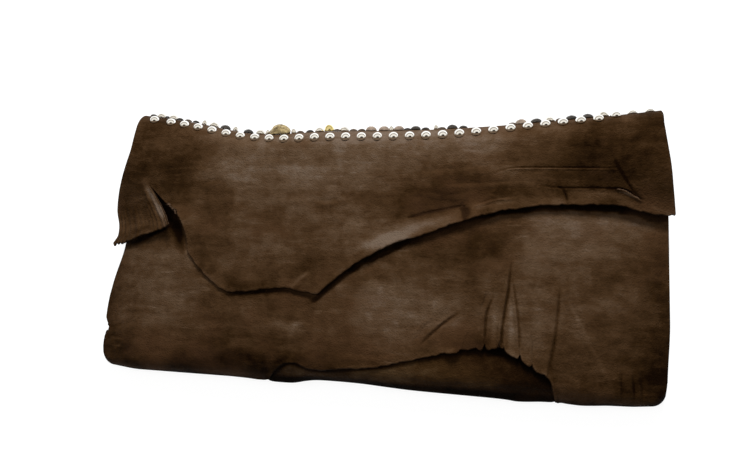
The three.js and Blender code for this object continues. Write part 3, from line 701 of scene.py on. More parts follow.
# %% Ragged edges of the flap
TOOTH_WIDTH, TEETH_FADE = 3.1, (-17.0, -8.0)  # of the tail's teeth, and minus the lengths where they die away
TOOTH_UNEVEN, UNEVEN_CELL = 0.3, 5.0  # how uneven the teeth are, in widths, and over what length
FINE_CELL, WIDE_CELL, WIDE_SHARE = 2.0, 8.0, 0.8  # lattice cells of the fraying's clouds, share of the wider


def frayed(line, amount, seed, teeth=0.0):
    """The line with its points moved along y by two clouds of its length, as a torn edge is. Teeth are a
    triangle wave at its start."""
    length = along(line)
    still = 0 * length
    wide = WIDE_SHARE * cloud(length, still, WIDE_CELL, seed + 1)
    rough = amount * (cloud(length, still, FINE_CELL, seed) + wide)
    uneven = TOOTH_UNEVEN * cloud(length, still, UNEVEN_CELL, seed + 2)
    saw = np.abs((length / TOOTH_WIDTH + uneven) % 1.0 - 0.5) * 4 - 1
    return line + np.stack([still, rough + teeth * saw * ease(-length, *TEETH_FADE)], axis=1)


TAIL_DROP, RIGHT_DROP = 60.0, 32.0  # how far below the bend the flap's two lower corners are
SLIT_HEAD = -145.0  # where the shared border leaves the fold
slit_top = np.array([SLIT_TOP[0] * HALF, HINGE_Y - SLIT_TOP[1] * REACH])
tail_line, corner_x = edge_line(TAIL_EDGE), left_end(TAIL_DROP)
tail_line = np.vstack([[corner_x, np.interp(corner_x, *tail_line.T)], tail_line[tail_line[:, 0] > corner_x]])
slit_line = edge_line([SLIT_TOP, *SLIT_RIGHT])
main_line = np.vstack([edge_line([SLIT_RIGHT[-1], *MAIN_EDGE]),
                       edge_line([MAIN_EDGE[-1], *RISING_EDGE, *RIGHT_EDGE])[1:]])
main_line = main_line[main_line[:, 0] < right_end(RIGHT_DROP)]
raw_lines = np.vstack([spaced(tail_line, 60), spaced(np.vstack([slit_top, tail_line[-1]]), 30),
                       spaced(slit_line, 50), spaced(main_line, 260)])
print("length of the flap's ragged edge, mm:", round(along(main_line)[-1] + along(tail_line)[-1]))

# %% [markdown]
# A patch between four lines has a simple rule: blend the top into the bottom, blend the left into the right,
# add the two and take away what was counted twice at the corners.

# %% Two patches with a shared border
UPPER_ROWS, LOWER_ROWS = 24, 70  # rows above the slit's top and below it
TAIL_COLUMNS, MAIN_COLUMNS = 88, 300


def patch(top, bottom, left, right, share, columns):
    """Surface stretched between four border lines, each given as points, with share the rows' way down and
    columns the columns' way across."""
    f, t = columns[None, :, None], share[:, None, None]
    across = mix(left[:, None], right[:, None], f)
    down = mix(top[None], bottom[None], t)
    corners = mix(mix(top[0], top[-1], f), mix(bottom[0], bottom[-1], f), t)
    return across + down - corners


def rows_to(upper):
    """Share of the way down of each row, with the slit's top at the share upper."""
    return np.concatenate([np.linspace(0, upper, UPPER_ROWS + 1),
                           np.linspace(upper, 1, LOWER_ROWS + 1)[1:]])


def border(upper_line, lower_line):
    """A border with its upper rows on one line and its lower rows on the line that carries it on."""
    return np.vstack([spaced(upper_line, UPPER_ROWS + 1), spaced(lower_line, LOWER_ROWS + 1)[1:]])


def end_border(end, bottom, share):
    """A border at an end of the flap, whose rows share out the drop from the bend to the bottom."""
    drop = share * (HINGE_Y - bottom[1])
    return np.stack([end(drop) + 0 * drop, HINGE_Y - drop], axis=1)


def fold_share(base):
    """Share of the half fold of columns at these places along it."""
    return base / np.where(base < 0, -FOLD_END[-1], FOLD_END[1])


def bend_line(base):
    """Points on the bend of the flap, for columns at these places along the fold."""
    return np.stack([base + flare(fold_share(base), 0.0), np.full(base.size, HINGE_Y)], axis=1)


# %% Plan of the tail and of the main part
TAIL_SLIT, MAIN_SLIT = 0.45, 0.33  # the slit's top as a share of the way down each patch
TAIL_FRAY, TAIL_TEETH, MAIN_FRAY = 0.5, 1.1, 0.45  # depth of the fraying and of the teeth
TAIL_SEED, MAIN_SEED = 21, 31
CREASED_END = (0.9, 0.8, 0.22)  # more columns where the right end is creased: how many more, place, reach
even = np.linspace(0, 1, 501)
wish = np.cumsum(1 + bump(even, *CREASED_END))
tail_way = np.linspace(0, 1, TAIL_COLUMNS)
main_way = np.interp(np.linspace(wish[0], wish[-1], MAIN_COLUMNS), wish, even)
tail_base = np.linspace(FOLD_END[-1], SLIT_HEAD, TAIL_COLUMNS)
main_base = mix(SLIT_HEAD, FOLD_END[1], main_way)
shared = np.vstack([bend_line(main_base[:1]), slit_top])
tail_share, main_share = rows_to(TAIL_SLIT), rows_to(MAIN_SLIT)
tail_bottom = frayed(spaced(tail_line, TAIL_COLUMNS), TAIL_FRAY, TAIL_SEED, TAIL_TEETH)
main_bottom = frayed(spaced(main_line, main_way), MAIN_FRAY, MAIN_SEED)
tail_plan = patch(bend_line(tail_base), tail_bottom, end_border(left_end, tail_bottom[0], tail_share),
                  border(shared, np.vstack([slit_top, tail_bottom[-1]])), tail_share, tail_way)
main_plan = patch(bend_line(main_base), main_bottom,
                  border(shared, np.vstack([slit_line[:-1], main_bottom[:1]])),
                  end_border(right_end, main_bottom[-1], main_share), main_share, main_way)
print("grids of the tail and the main part:", tail_plan.shape[:2], main_plan.shape[:2])

# %% [markdown]
# Seen from the side, the flap leaves the fold level, comes down onto the front and lies there with a little
# air under it. Its ragged edge stands off on the right, where a dark shadow shows below it, and lies flat on
# the lower left, where the shadow is a thin line. Pleats run down the tail, and tucks cross the right.

# %% Creases of the flap, and where its edge stands off
FLAP_CREASES = [  # line, width, depth, lip on its right hand, which is below a line that runs to the right
    ([(74, 39.6), (82, 42.9), (86, 43.7), (102, 44.2), (125, 44.2),
      (147, 44.2)], 0.5, 0.65, 0.6, 0.3, 0.06),
    ([(144, 50), (145.3, 46.5), (149.1, 39.9), (154.8, 31.5), (161, 25)], 0.5, 1.1, 0.4, 0.3, 0.2),
    ([(100, 33.6), (116, 32.4), (131, 32.7), (147, 32.4)], 0.6, 0.7, 0.4, 0.4, 0.1),
    ([(143, 32.6), (149, 32), (153, 30.2), (161, 26)], 0.45, 1.6, 1.5, 0.2, 0.1),
    ([(108, 36), (115.4, 31), (117.3, 28.1), (118.3, 24)], 0.6, 1.2, 0.5, 0.4, 0.1),
    ([(20, 10), (30.3, 13.4), (38.8, 15.8), (47.7, 17.7), (58.5, 20.2)], 0.5, 1.2, 0.2, 0.4, 0.05),
    ([(58.6, 20.6), (59.5, 16.4), (61, 11)], 0.6, 1.8, 0.5, 0.1, 0.02),
    ([(62, 20), (68, 21.8), (78, 25), (92, 26.5)], 0.7, 0.8, 0.9),
    ([(-46, -36), (-40, -28), (-32, -21)], 1.0, 0.7, 1.0),
    ([(-88, -40), (-87.5, -33), (-86, -25)], 0.8, 1.0, 0.8, 0.05, 0.5),
    ([(-112, 30), (-104, 34), (-99, 31)], 1.2, 0.8, 0.6),
    ([(-88, 30), (-86, 24), (-88, 17)], 1.0, 0.5, 0.5),
    ([(-34, 23), (-26, 21.5), (-18, 23)], 1.2, 0.7, 0.6), ([(30, 30), (48, 27), (66, 29)], 1.5, 0.5, 0.5),
    ([(18, 40), (60, 44), (110, 51)], 2.0, 0.4, 0.4), ([(40, 33), (70, 34.5), (96, 36)], 1.2, 0.4, 0.4),
    ([(152, 22), (156, 17), (158, 13)], 0.8, 1.0, 0.7, 0.3, 0.02),
    ([(-152, 30), (-149, 22), (-150, 14)], 1.2, 0.6, 0.5),
]
STAND_OFFS = [  # where the edge lifts off the front: x, y, reach across, reach along, height
    (-127, 7, 8, 14, 5.0), (-150, -4, 18, 9, 1.6), (-60, -36, 26, 9, 0.3), (-28, -34, 9, 8, 0.7),
    (62, 14, 40, 12, 1.6), (130, 22, 32, 9, 0.8), (8, -8, 30, 12, 1.2),
]


# %% Height of the flap
SHOULDER = 48.0  # from the bend to where the flap lies on the front
FLAP_AIR, CURL, CURL_REACH = 1.0, 1.5, 7.0  # air under the flap, curl of its edge, and how far in it starts
FLAT_LEFT, FLAT_RIGHT, FLAT_TOP = (-132, -118), (-44, -14), (-16, 4)  # where its flat part begins and ends
FLAT_AIR, FLAT_CURL = 0.6, 0.92  # air that is lost there, and share of the curl
CREASED_FROM = (2, 10)  # drops from the bend between which the creases come in
PLEATS, PLEAT_DEPTH, PLEAT_POWER, PLEAT_ZONE = 11, 0.95, 1.4, (0.42, 0.9)  # the zone: shares of the way down
RIDGE, RIDGE_REACH = 1.3, 0.05  # raised border along the slit: height, and reach as a share of the tail


def flap_z(x, y):
    """Height of the flap's outer side: from the fold's top, eased over the shoulder, to the front hide plus
    a layer and some air, with the curl of its edge, its stand-offs and its creases."""
    drop = HINGE_Y - y
    settled = ease(drop, 0, SHOULDER)
    flat = ease(x, *FLAT_LEFT) * (1 - ease(x, *FLAT_RIGHT)) * (1 - ease(y, *FLAT_TOP))
    rest = face_z(x / HALF, y) + dents(x, y) + HIDE + FLAP_AIR - FLAT_AIR * flat
    nearest = np.stack([np.hypot(x - ex, y - ey) for ex, ey in raw_lines[::2]]).min(axis=0)
    curl = CURL * np.exp(-nearest / CURL_REACH) * (1 - FLAT_CURL * flat)
    lifted = sum(h * bell(x, sx, rx) * bell(y, sy, ry) for sx, sy, rx, ry, h in STAND_OFFS)
    folds = sum(crease(x, y, *c) for c in FLAP_CREASES)
    z = mix(FOLD_Z, rest, settled) + settled * (curl + lifted) + ease(drop, *CREASED_FROM) * folds
    return z, nearest


def pleats(across, down):
    """Fine pleats of the tail: a cosine across it, sharper at its crests, uneven in width and in height, that
    grows towards its edge."""
    wave = 0.5 - 0.5 * np.cos(2 * np.pi * (PLEATS * across + 0.4 * np.sin(9 * across)))
    height = 0.5 + 0.3 * np.sin(7.0 * across + 1.0) + 0.2 * np.sin(17.0 * across)
    ridge = RIDGE * np.exp(-(1 - across) / RIDGE_REACH)
    return (PLEAT_DEPTH * height * wave**PLEAT_POWER + ridge) * ease(down, *PLEAT_ZONE)


# %% [markdown]
# The same hide runs on over the fold. The piece takes in the front half of the roll, so that no seam shows
# where the photograph looks.

# %% Rows over the fold
ROLL_ROWS, LIP_ROWS = 18, 9
FAR = 99.0  # stands for a distance at which no ragged edge is felt


def fold_rows(base):
    """Rows over the fold for columns at these places along it: round the roll, then along the level lip,
    which already flares out at its ends."""
    u = fold_share(base)
    roll = [roll_point(u, turn) for turn in np.linspace(SEAM_TURN, 0, ROLL_ROWS)]
    lip = []
    for share in np.linspace(0, 1, LIP_ROWS + 1)[1:-1]:
        y = mix(roll_y(u), HINGE_Y, share)
        lip.append(np.stack([plan_x(u, y), y, np.full_like(u, FOLD_Z)], axis=-1))
    rows = np.stack(roll + lip)
    rows[..., 0] += flare(u, HINGE_Y - rows[..., 1])
    return rows


def flap_patch(plan, base, pleat=0.0):
    """A whole patch, from the back of the fold to the ragged edge, and its distance from that edge."""
    z, nearest = flap_z(plan[..., 0], plan[..., 1])
    upper = fold_rows(base)
    lower = np.concatenate([plan, (z + pleat)[..., None]], axis=-1)
    far = np.full(upper.shape[:2], FAR)
    return np.concatenate([upper, lower]), np.concatenate([far, nearest])


tail, tail_far = flap_patch(tail_plan, tail_base, pleats(tail_way[None, :], tail_share[:, None]))
main, main_far = flap_patch(main_plan, main_base)
print("points of the tail and of the main part:", tail[..., 0].size, main[..., 0].size)

# %% Mesh of the flap
joined = len(main) - LOWER_ROWS  # rows above the slit's top, where both patches share their border
main[:joined, 0] = tail[:joined, -1]
tail_index = np.arange(tail[..., 0].size).reshape(tail.shape[:2])
main_index = tail_index.size + np.arange(main[..., 0].size).reshape(main.shape[:2])
main_index[:joined, 0] = tail_index[:joined, -1]
surface = np.vstack([tail.reshape(-1, 3), main.reshape(-1, 3)])
quads = np.vstack([grid_quads(tail_index, True), grid_quads(main_index, True)])
used, quads = np.unique(quads, return_inverse=True)
points, faces, side = thicken(surface[used], quads.reshape(-1, 4))
far = np.concatenate([tail_far.ravel(), main_far.ravel()])[used]
raw = on_both_sides(np.exp(-far / RAW_REACH), points, 1.0)
tone_and_painted_light = dye_and_painted_light(points[:, 0], points[:, 1], FLAP_TONE_AND_PAINTED_LIGHT_SPOTS, FLAP_RUBS_AND_PAINTED_LIGHT_LINES)
flap_hide = mesh_piece("flap_hide", points, faces.tolist(), {"side": side, "raw": raw, "dye_and_painted_light": tone_and_painted_light})

# %% [markdown]
# ## Studs, beads and stones
#
# A dome stud is stamped from thin metal, as a round cap. The others are caps of the same family. Each is a
# profile turned about an axis, set square on the fold where its CAD node sits.

# %% Seats on the fold
ROW_ANGLE = 29.0  # the stud row's place on the roll, in degrees
# How the row drifts back over the roll towards an end: the end, degrees, and the shares of the half width
# where the drift starts and is complete.
DRIFTS = [(1, 16.0, 0.2, 0.72), (1, 44.0, 0.78, 0.9), (-1, 9.0, 0.28, 0.46)]
SEAT_GAP = 0.05  # air under a stud


def seat(x, degrees):
    """Place and directions on the fold: along it, square out of the hide, and over the roll."""
    u = x / abs(float(plan_x(np.sign(x), ROLL_Y)))
    turn, step = np.radians(degrees), 1e-3
    fold = roll_point(np.array(u + step), turn) - roll_point(np.array(u - step), turn)
    over = roll_point(np.array(u), turn + step) - roll_point(np.array(u), turn - step)
    fold, over = fold / np.linalg.norm(fold), over / np.linalg.norm(over)
    out = np.cross(fold, over)
    out = out / np.linalg.norm(out)
    return roll_point(np.array(u), turn) + SEAT_GAP * out, fold, out, np.cross(fold, out)


# %% Turned pieces
def turned_piece(name, profile, x, degrees, stretch=(1.0, 1.0), wobble=0.0, seed=0, segments=24):
    """A profile of (radius, height) turned about the seat's outward line and stretched along the fold and
    over it. A wobble makes it a pebble: its radius swells and shrinks by a smooth noise round it."""
    spot, fold, out, over = seat(x, degrees)
    angle = np.linspace(0, 2 * np.pi, segments, endpoint=False)
    radius, height = np.asarray(profile, float)[1:-1].T[..., None]
    noise_x, noise_y = 3 + 1.4 * np.cos(angle) + 0 * radius, 3 + 1.4 * np.sin(angle) + 0.5 * height
    swell = 1 + wobble * cloud(noise_x, noise_y, 1.0, seed)
    rings = (spot + (radius * swell * stretch[0] * np.cos(angle))[..., None] * fold
             + (radius * swell * stretch[1] * np.sin(angle))[..., None] * over
             + (height * swell**0.5 + 0 * angle)[..., None] * out)
    index = np.arange(rings[..., 0].size).reshape(rings.shape[:2])
    ring = np.concatenate([index, index[:, :1]], axis=1)
    base, top = np.full(segments, index.size), np.full(segments, index.size + 1)
    fans = np.vstack([np.stack([base, ring[0, :-1], ring[0, 1:]], axis=1),
                      np.stack([top, ring[-1, 1:], ring[-1, :-1]], axis=1)])
    poles = np.stack([spot + profile[0][1] * out, spot + profile[-1][1] * out])
    faces = [*grid_quads(ring, True).tolist(), *fans.tolist()]
    return mesh_piece(name, np.vstack([rings.reshape(-1, 3), poles]), faces)


def cap(radius, height, rows=9):
    """Profile of a cap: a flat base, and a dome that is a quarter of an ellipse."""
    angles = np.linspace(0, np.pi / 2, rows)[1:]
    return [(0, 0), (radius, 0), *((radius * np.cos(a), height * np.sin(a)) for a in angles)]


# %% The front row of studs
STUDS, STUD = 32, cap(3.2, 2.7, rows=14)
ROW_INSET = {-1: 27.0, 1: 11.0}  # from the sides of the bag to the first and the last stud
FIRST_STEP = 2.8  # how much longer the row's first step is than the others
stud_places = np.linspace(ROW_INSET[-1] - HALF, HALF - ROW_INSET[1], STUDS)
stud_places[0] -= FIRST_STEP
drifts = [degrees * ease(end * stud_places / HALF, first, full) for end, degrees, first, full in DRIFTS]
studs = [turned_piece(f"dome_stud_{n:02d}", STUD, x, turn, segments=36)
         for n, (x, turn) in enumerate(zip(stud_places, ROW_ANGLE + sum(drifts)), 1)]

# %% The mixed row behind it
KINDS = {  # profile, place on the roll in degrees, stretch along and over the fold, wobble
    "silver_bead": (cap(3.2, 3.0), 76, (1.0, 1.0), 0.05),
    "brass_disc": (cap(2.9, 4.4), 70, (1.1, 1.0), 0.03),
    "brass_pebble": (cap(4.5, 6.2, rows=14), 70, (1.45, 1.0), 0.22),
    "taupe_stone": (cap(2.6, 3.0), 76, (1.4, 1.0), 0.10),
    "dark_stone": (cap(2.6, 2.6), 76, (1.35, 1.0), 0.12),
}
MIXED_ROW = {  # places of each kind, as shares of the half width from the middle
    "silver_bead": [-0.858, -0.804, -0.631, -0.443, -0.213, -0.12, 0.607, 0.784],
    "brass_disc": [-0.174],
    "brass_pebble": [-0.361],
    "taupe_stone": [-0.02, 0.027, 0.083, 0.511],
    "dark_stone": [-0.585, -0.489, 0.142, 0.273, 0.562, 0.679, 0.733],
}
mixed, counts = [], dict.fromkeys(KINDS, 0)
for share, kind in sorted((share, kind) for kind, shares in MIXED_ROW.items() for share in shares):
    profile, degrees, stretch, wobble = KINDS[kind]
    counts[kind] += 1
    node = f"{kind}_{counts[kind]:02d}"
    piece = turned_piece(f"set_{node}", profile, share * HALF, degrees, stretch, wobble, len(mixed))
    mixed.append((piece, kind, node))
print("mixed row:", counts)

# %% [markdown]
# Between the large ornaments the real bag has many small beads and links. The CAD model keeps to the large
# ones, so the small ones are made here only, as caps of the same family with fewer points.

# %% Small beads and links between them
SMALL_KINDS = {  # profile, stretch along and over the fold, and the places: share of the half width, degrees
    "small_bead": (cap(1.7, 3.0), (1.0, 1.0), [
        (-0.674, 76), (-0.544, 76), (-0.412, 74), (-0.311, 74), (0.055, 74), (0.216, 76)]),
    "dark_link": (cap(1.1, 1.6), (2.4, 1.0), [
        (-0.893, 74), (-0.831, 76), (-0.776, 76), (-0.706, 74), (-0.25, 75), (0.113, 76), (0.178, 76),
        (0.312, 76)]),
    "brown_link": (cap(1.1, 1.5), (2.4, 1.0), [
        (-0.742, 76), (-0.288, 76), (-0.146, 70), (-0.085, 76), (-0.055, 76), (0.236, 78), (0.48, 78),
        (0.642, 76), (0.706, 76), (0.826, 78)]),
}
SMALL_WOBBLE = 0.12
small = []
for share, degrees, kind in sorted((*place, kind) for kind in SMALL_KINDS for place in SMALL_KINDS[kind][2]):
    profile, stretch, _ = SMALL_KINDS[kind]
    name = f"{kind}_{len(small) + 1:02d}"
    piece = turned_piece(name, profile, share * HALF, degrees, stretch, SMALL_WOBBLE, len(small), 14)
    small.append((piece, kind))
print("small pieces:", len(small))

# %% [markdown]
# ## Shared finishes
#
# Leather, metal and stone all vary over their surface. What they share is kept in shader node groups, which
# are built once and placed in each material: clouds of tone, the grain of the hide, and the fine wear of
# polished things.

# %% Node helpers
def add(tree, kind, inputs=None, **settings):
    """New node with these settings; each input takes a plain value, or is linked if given a socket."""
    made = tree.nodes.new(kind)
    for key, value in settings.items():
        setattr(made, key, value)
    for key, value in (inputs or {}).items():
        if isinstance(value, bpy.types.NodeSocket):
            tree.links.new(value, made.inputs[key])
        else:
            made.inputs[key].default_value = value
    return made


def blend_colour(tree, share, a, b):
    """Colour a where share is 0 and b where it is 1."""
    return add(tree, "ShaderNodeMix", {0: share, 6: a, 7: b}, data_type="RGBA").outputs[2]


def sum_of(tree, a, b, how="ADD"):
    """Two values put together by a Math node."""
    return add(tree, "ShaderNodeMath", {0: a, 1: b}, operation=how).outputs[0]


def weighted(tree, *terms):
    """Sum of values, each times its weight."""
    total = None
    for value, weight in terms:
        part = sum_of(tree, value, weight, "MULTIPLY")
        total = part if total is None else sum_of(tree, total, part)
    return total


def remap(tree, value, low, high, to_low=0.0, to_high=1.0):
    """The value's way from low to high, held between them, as a way from to_low to to_high."""
    return add(tree, "ShaderNodeMapRange", {"Value": value, "From Min": low, "From Max": high,
                                            "To Min": to_low, "To Max": to_high}).outputs[0]


def noise(tree, vector, scale, detail=6.0, roughness=0.62, **settings):
    """Value of a noise texture at this many features per metre."""
    return add(tree, "ShaderNodeTexNoise", {"Vector": vector, "Scale": scale, "Detail": detail,
                                            "Roughness": roughness}, **settings).outputs[0]


def scaled(tree, vector, scale, turn=0.0):
    """The coordinates stretched along their axes and turned about the upright one."""
    made = add(tree, "ShaderNodeMapping", {"Vector": vector, "Scale": scale, "Rotation": (0, 0, turn)})
    return made.outputs[0]


def new_group(name, inputs, outputs):
    """Empty shader node group with float sockets. Returns its tree, its two end nodes and the object's own
    coordinates in it."""
    tree = bpy.data.node_groups.new(name, "ShaderNodeTree")
    for label, value in inputs.items():
        socket = tree.interface.new_socket(name=label, in_out="INPUT", socket_type="NodeSocketFloat")
        socket.default_value = value
    for label in outputs:
        tree.interface.new_socket(name=label, in_out="OUTPUT", socket_type="NodeSocketFloat")
    ends = tree.nodes.new("NodeGroupInput").outputs, tree.nodes.new("NodeGroupOutput").inputs
    return tree, *ends, add(tree, "ShaderNodeTexCoord").outputs["Object"]


# %% Clouds of tone
SCRATCHES, PATCHES, WARM_CLOUDS = 240.0, 38.0, 20.0  # features per metre
clouds, given, result, place = new_group(
    "dye_clouds", {"Broad": 16.0, "Fine": 85.0}, ["Tone", "Scuff", "Warmth"])
broad = noise(clouds, place, given["Broad"])
fine = noise(clouds, place, given["Fine"], 8.0, 0.77)
streaks = noise(clouds, scaled(clouds, place, (0.4, 2.0, 1.0), 0.2), given["Fine"], 6.0, 0.66)
clouds.links.new(weighted(clouds, (broad, 0.40), (fine, 0.36), (streaks, 0.24)), result["Tone"])
scratch = noise(clouds, scaled(clouds, place, (0.25, 1.6, 1.0), 0.35), SCRATCHES, 5.0, 0.6)
scratch = remap(clouds, scratch, 0.56, 0.72)
where = remap(clouds, noise(clouds, place, PATCHES, 3.0), 0.48, 0.66)
clouds.links.new(sum_of(clouds, scratch, where, "MULTIPLY"), result["Scuff"])
warm = noise(clouds, scaled(clouds, place, (1.0, 1.3, 1.0), 1.0), WARM_CLOUDS, 3.0)
clouds.links.new(warm, result["Warmth"])

# %% Grain of the hide
SKIN, WRINKLED, SWELLS = 300.0, 120.0, 60.0  # features per metre
grain, given, result, place = new_group("hide_grain", {"Cells": 620.0}, ["Height"])
cells = add(grain, "ShaderNodeTexVoronoi", {"Vector": place, "Scale": given["Cells"]},
            feature="DISTANCE_TO_EDGE").outputs["Distance"]
cells = remap(grain, cells, 0.0, 0.25)
skin = noise(grain, place, SKIN, 5.0)
wrinkled = noise(grain, place, WRINKLED, 4.0, 0.55, noise_type="RIDGED_MULTIFRACTAL")
swells = noise(grain, place, SWELLS, 3.0, 0.5)
grain.links.new(weighted(grain, (cells, 0.25), (skin, 0.9), (wrinkled, 0.7), (swells, 2.2)), result["Height"])

# %% Fine wear of polished things
WORN_SPOTS = 340.0  # features per metre
wear, given, result, place = new_group("fine_wear", {"Scale": 900.0}, ["Rough", "Spots"])
wear.links.new(noise(wear, place, given["Scale"], 5.0, 0.5), result["Rough"])
wear.links.new(noise(wear, place, WORN_SPOTS, 4.0, 0.7), result["Spots"])
print("node groups:", [g.name for g in bpy.data.node_groups])

# %% [markdown]
# ## Leather
#
# The outside of the hide goes from near black through brown to a rubbed taupe, the way the tone runs. The
# cut edges are darker and rougher, and the flesh side, which shows when the flap is lifted, is suede.

# %% Material helpers
def new_material(name):
    """Empty node material. Returns it with its tree and its Principled shader."""
    made = bpy.data.materials.new(name)
    made.use_nodes = True
    return made, made.node_tree, made.node_tree.nodes["Principled BSDF"]


def group_outputs(tree, group):
    """Outputs of a shared group placed in a material."""
    return add(tree, "ShaderNodeGroup", node_tree=group).outputs


def ramp(tree, share, stops):
    """Colour ramp through (place, colour) stops."""
    made = add(tree, "ShaderNodeValToRGB", {"Fac": share})
    elements = made.color_ramp.elements
    while len(elements) < len(stops):
        elements.new(0.5)
    for element, (where, colour) in zip(elements, stops):
        element.position, element.color = where, (*colour, 1.0)
    return made.outputs["Color"]


# %% Leather material
CONTRAST = 2.6  # how much the clouds of tone are spread out
SCUFFED, EDGE_RUB_AND_HIGHLIGHT = 0.34, 0.10  # how much scuffs lighten the tone, and ragged edges, partly rubbed and partly a painted highlight
WARM, WARM_SHARE = (0.52, 0.7), 0.45  # where the warm clouds begin and are full, and their share there
RIM, FLESH = (0.3, 1.0), (1.0, 1.6)  # values of the side mark between which the rim and the flesh side begin
DARKEST, ROUGH = -0.6, (1.0, 0.52)  # the darkest tone, and the roughness from it to the lightest
ROUGH_RIM = 0.4  # how much rougher a cut rim is
BUMP, BUMP_HEIGHT = 0.85, 0.0008  # strength of the grain, and its height in metres
SHINE, SHINE_TINT = 0.05, (1.0, 0.76, 0.54, 1.0)


def leather(name, stops, warm_colour, suede):
    """Brown hide: clouds of tone plus the spots and lines of dye and painted light and shade pick the colour,
    scuffs lighten it, and grain makes the bump. Ragged edges are lighter on top, partly rubbed and partly a
    painted highlight, and dark on the cut, and the flesh side is suede."""
    made, tree, shader = new_material(name)
    tones, surface = group_outputs(tree, clouds), group_outputs(tree, grain)
    dye_and_light, cut, layer = (add(tree, "ShaderNodeAttribute", attribute_name=mark).outputs["Fac"]
                        for mark in ("dye_and_painted_light", "raw", "side"))
    spread = remap(tree, tones["Tone"], 0.5 - 0.5 / CONTRAST, 0.5 + 0.5 / CONTRAST)
    level = weighted(tree, (spread, 1.0), (dye_and_light, 1.0), (tones["Scuff"], SCUFFED), (cut, EDGE_RUB_AND_HIGHLIGHT))
    warmth = remap(tree, tones["Warmth"], *WARM, 0.0, WARM_SHARE)
    colour = blend_colour(tree, warmth, ramp(tree, level, stops), (*warm_colour, 1.0))
    on_rim = remap(tree, layer, *RIM)
    colour = blend_colour(tree, on_rim, colour, (*stops[0][1], 1.0))
    colour = blend_colour(tree, remap(tree, layer, *FLESH), colour, (*suede, 1.0))
    tree.links.new(colour, shader.inputs["Base Color"])
    rough = remap(tree, level, DARKEST, 1.0, *ROUGH)
    rough = sum_of(tree, rough, sum_of(tree, on_rim, ROUGH_RIM, "MULTIPLY"))
    tree.links.new(rough, shader.inputs["Roughness"])
    relief = add(tree, "ShaderNodeBump", {"Strength": BUMP, "Distance": BUMP_HEIGHT,
                                          "Height": surface["Height"]})
    tree.links.new(relief.outputs[0], shader.inputs["Normal"])
    shader.inputs["Specular IOR Level"].default_value = SHINE
    shader.inputs["Specular Tint"].default_value = SHINE_TINT
    return made


# The lightest stop is greyed a little for the sheen near the fold: a painted sheen.
BROWN_STOPS = [  # tone and colour
    (0.0, (0.0036, 0.0014, 0.0004)), (0.3, (0.0170, 0.0080, 0.0026)), (0.55, (0.0355, 0.0184, 0.0080)),
    (0.8, (0.0595, 0.0362, 0.0204)), (1.0, (0.088, 0.0622, 0.0440)),
]
DARK_STOPS = [
    (0.0, (0.0015, 0.0006, 0.0002)), (0.4, (0.0085, 0.0036, 0.0011)), (0.7, (0.025, 0.0122, 0.0040)),
    (1.0, (0.050, 0.029, 0.013)),
]
brown_hide = leather("brown_hide", BROWN_STOPS, (0.046, 0.0222, 0.0102), (0.050, 0.030, 0.018))
dark_hide = leather("dark_hide", DARK_STOPS, (0.018, 0.0078, 0.0026), (0.042, 0.026, 0.016))
print("leathers:", brown_hide.name, dark_hide.name)

# %% [markdown]
# ## Metal and stone
#
# Small polished domes are mostly reflection: what makes them look like metal is a bright room with darker
# places in it. Fine wear varies their roughness, so that no two of them shine in quite the same way.

# %% Metal and stone materials
def polished(name, dark, light, metallic, smooth, dull):
    """Two colours mixed by spots of wear, with roughness from smooth to dull over the surface."""
    made, tree, shader = new_material(name)
    used = group_outputs(tree, wear)
    colour = blend_colour(tree, remap(tree, used["Spots"], 0.35, 0.65), (*dark, 1.0), (*light, 1.0))
    tree.links.new(colour, shader.inputs["Base Color"])
    tree.links.new(remap(tree, used["Rough"], 0.3, 0.7, smooth, dull), shader.inputs["Roughness"])
    shader.inputs["Metallic"].default_value = metallic
    return made


silver = polished("silver", (0.84, 0.83, 0.80), (0.94, 0.93, 0.90), 1.0, 0.05, 0.08)
pale_silver = polished("pale_silver", (0.62, 0.59, 0.53), (0.92, 0.89, 0.83), 1.0, 0.10, 0.22)
brass = polished("brass", (0.72, 0.58, 0.22), (0.92, 0.80, 0.42), 1.0, 0.14, 0.28)
pebble = polished("brass_pebble", (0.10, 0.072, 0.035), (0.46, 0.36, 0.18), 0.6, 0.16, 0.4)
taupe = polished("taupe_stone", (0.11, 0.08, 0.06), (0.22, 0.17, 0.13), 0.0, 0.2, 0.35)
charcoal = polished("dark_stone", (0.006, 0.005, 0.004), (0.030, 0.024, 0.019), 0.0, 0.12, 0.3)
brown_stone = polished("brown_stone", (0.025, 0.016, 0.010), (0.075, 0.052, 0.036), 0.0, 0.3, 0.5)
print("materials:", len(bpy.data.materials))

# %% [markdown]
# ## Joining the pieces to the moving frame
#
# The flap is one hide with the fold, and it keeps its place in the world. Everything else rides on the pouch.

# %% Bodies and slots
FINISHES = {"silver_bead": (pale_silver, "silver"), "brass_disc": (brass, "brass"),
            "brass_pebble": (pebble, "brass"), "taupe_stone": (taupe, "taupe_stone"),
            "dark_stone": (charcoal, "dark_stone"), "small_bead": (pale_silver, "silver"),
            "dark_link": (charcoal, "dark_stone"), "brown_link": (brown_stone, "dark_stone")}


def finish_piece(piece, material, slot, *nodes):
    """Gives a piece its material and hides the CAD nodes that it stands for. Its slot is not used."""
    piece.data.materials.append(material)
    if nodes:
        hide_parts(*nodes)


finish_piece(flap_hide, brown_hide, "hide", "flap")
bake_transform(flap_hide)
riders = [(front_hide, brown_hide, "hide", "front_panel"), (back_hide, dark_hide, "dark_hide", "back_panel")]
riders += [(stud, silver, "silver", f"stud_{n:02d}") for n, stud in enumerate(studs, 1)]
riders += [(piece, *FINISHES[kind], *node) for piece, kind, *node in mixed + small]
for rider in riders:
    finish_piece(*rider)
    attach(rider[0], "pouch")
print("pieces that ride on the pouch:", len(riders))


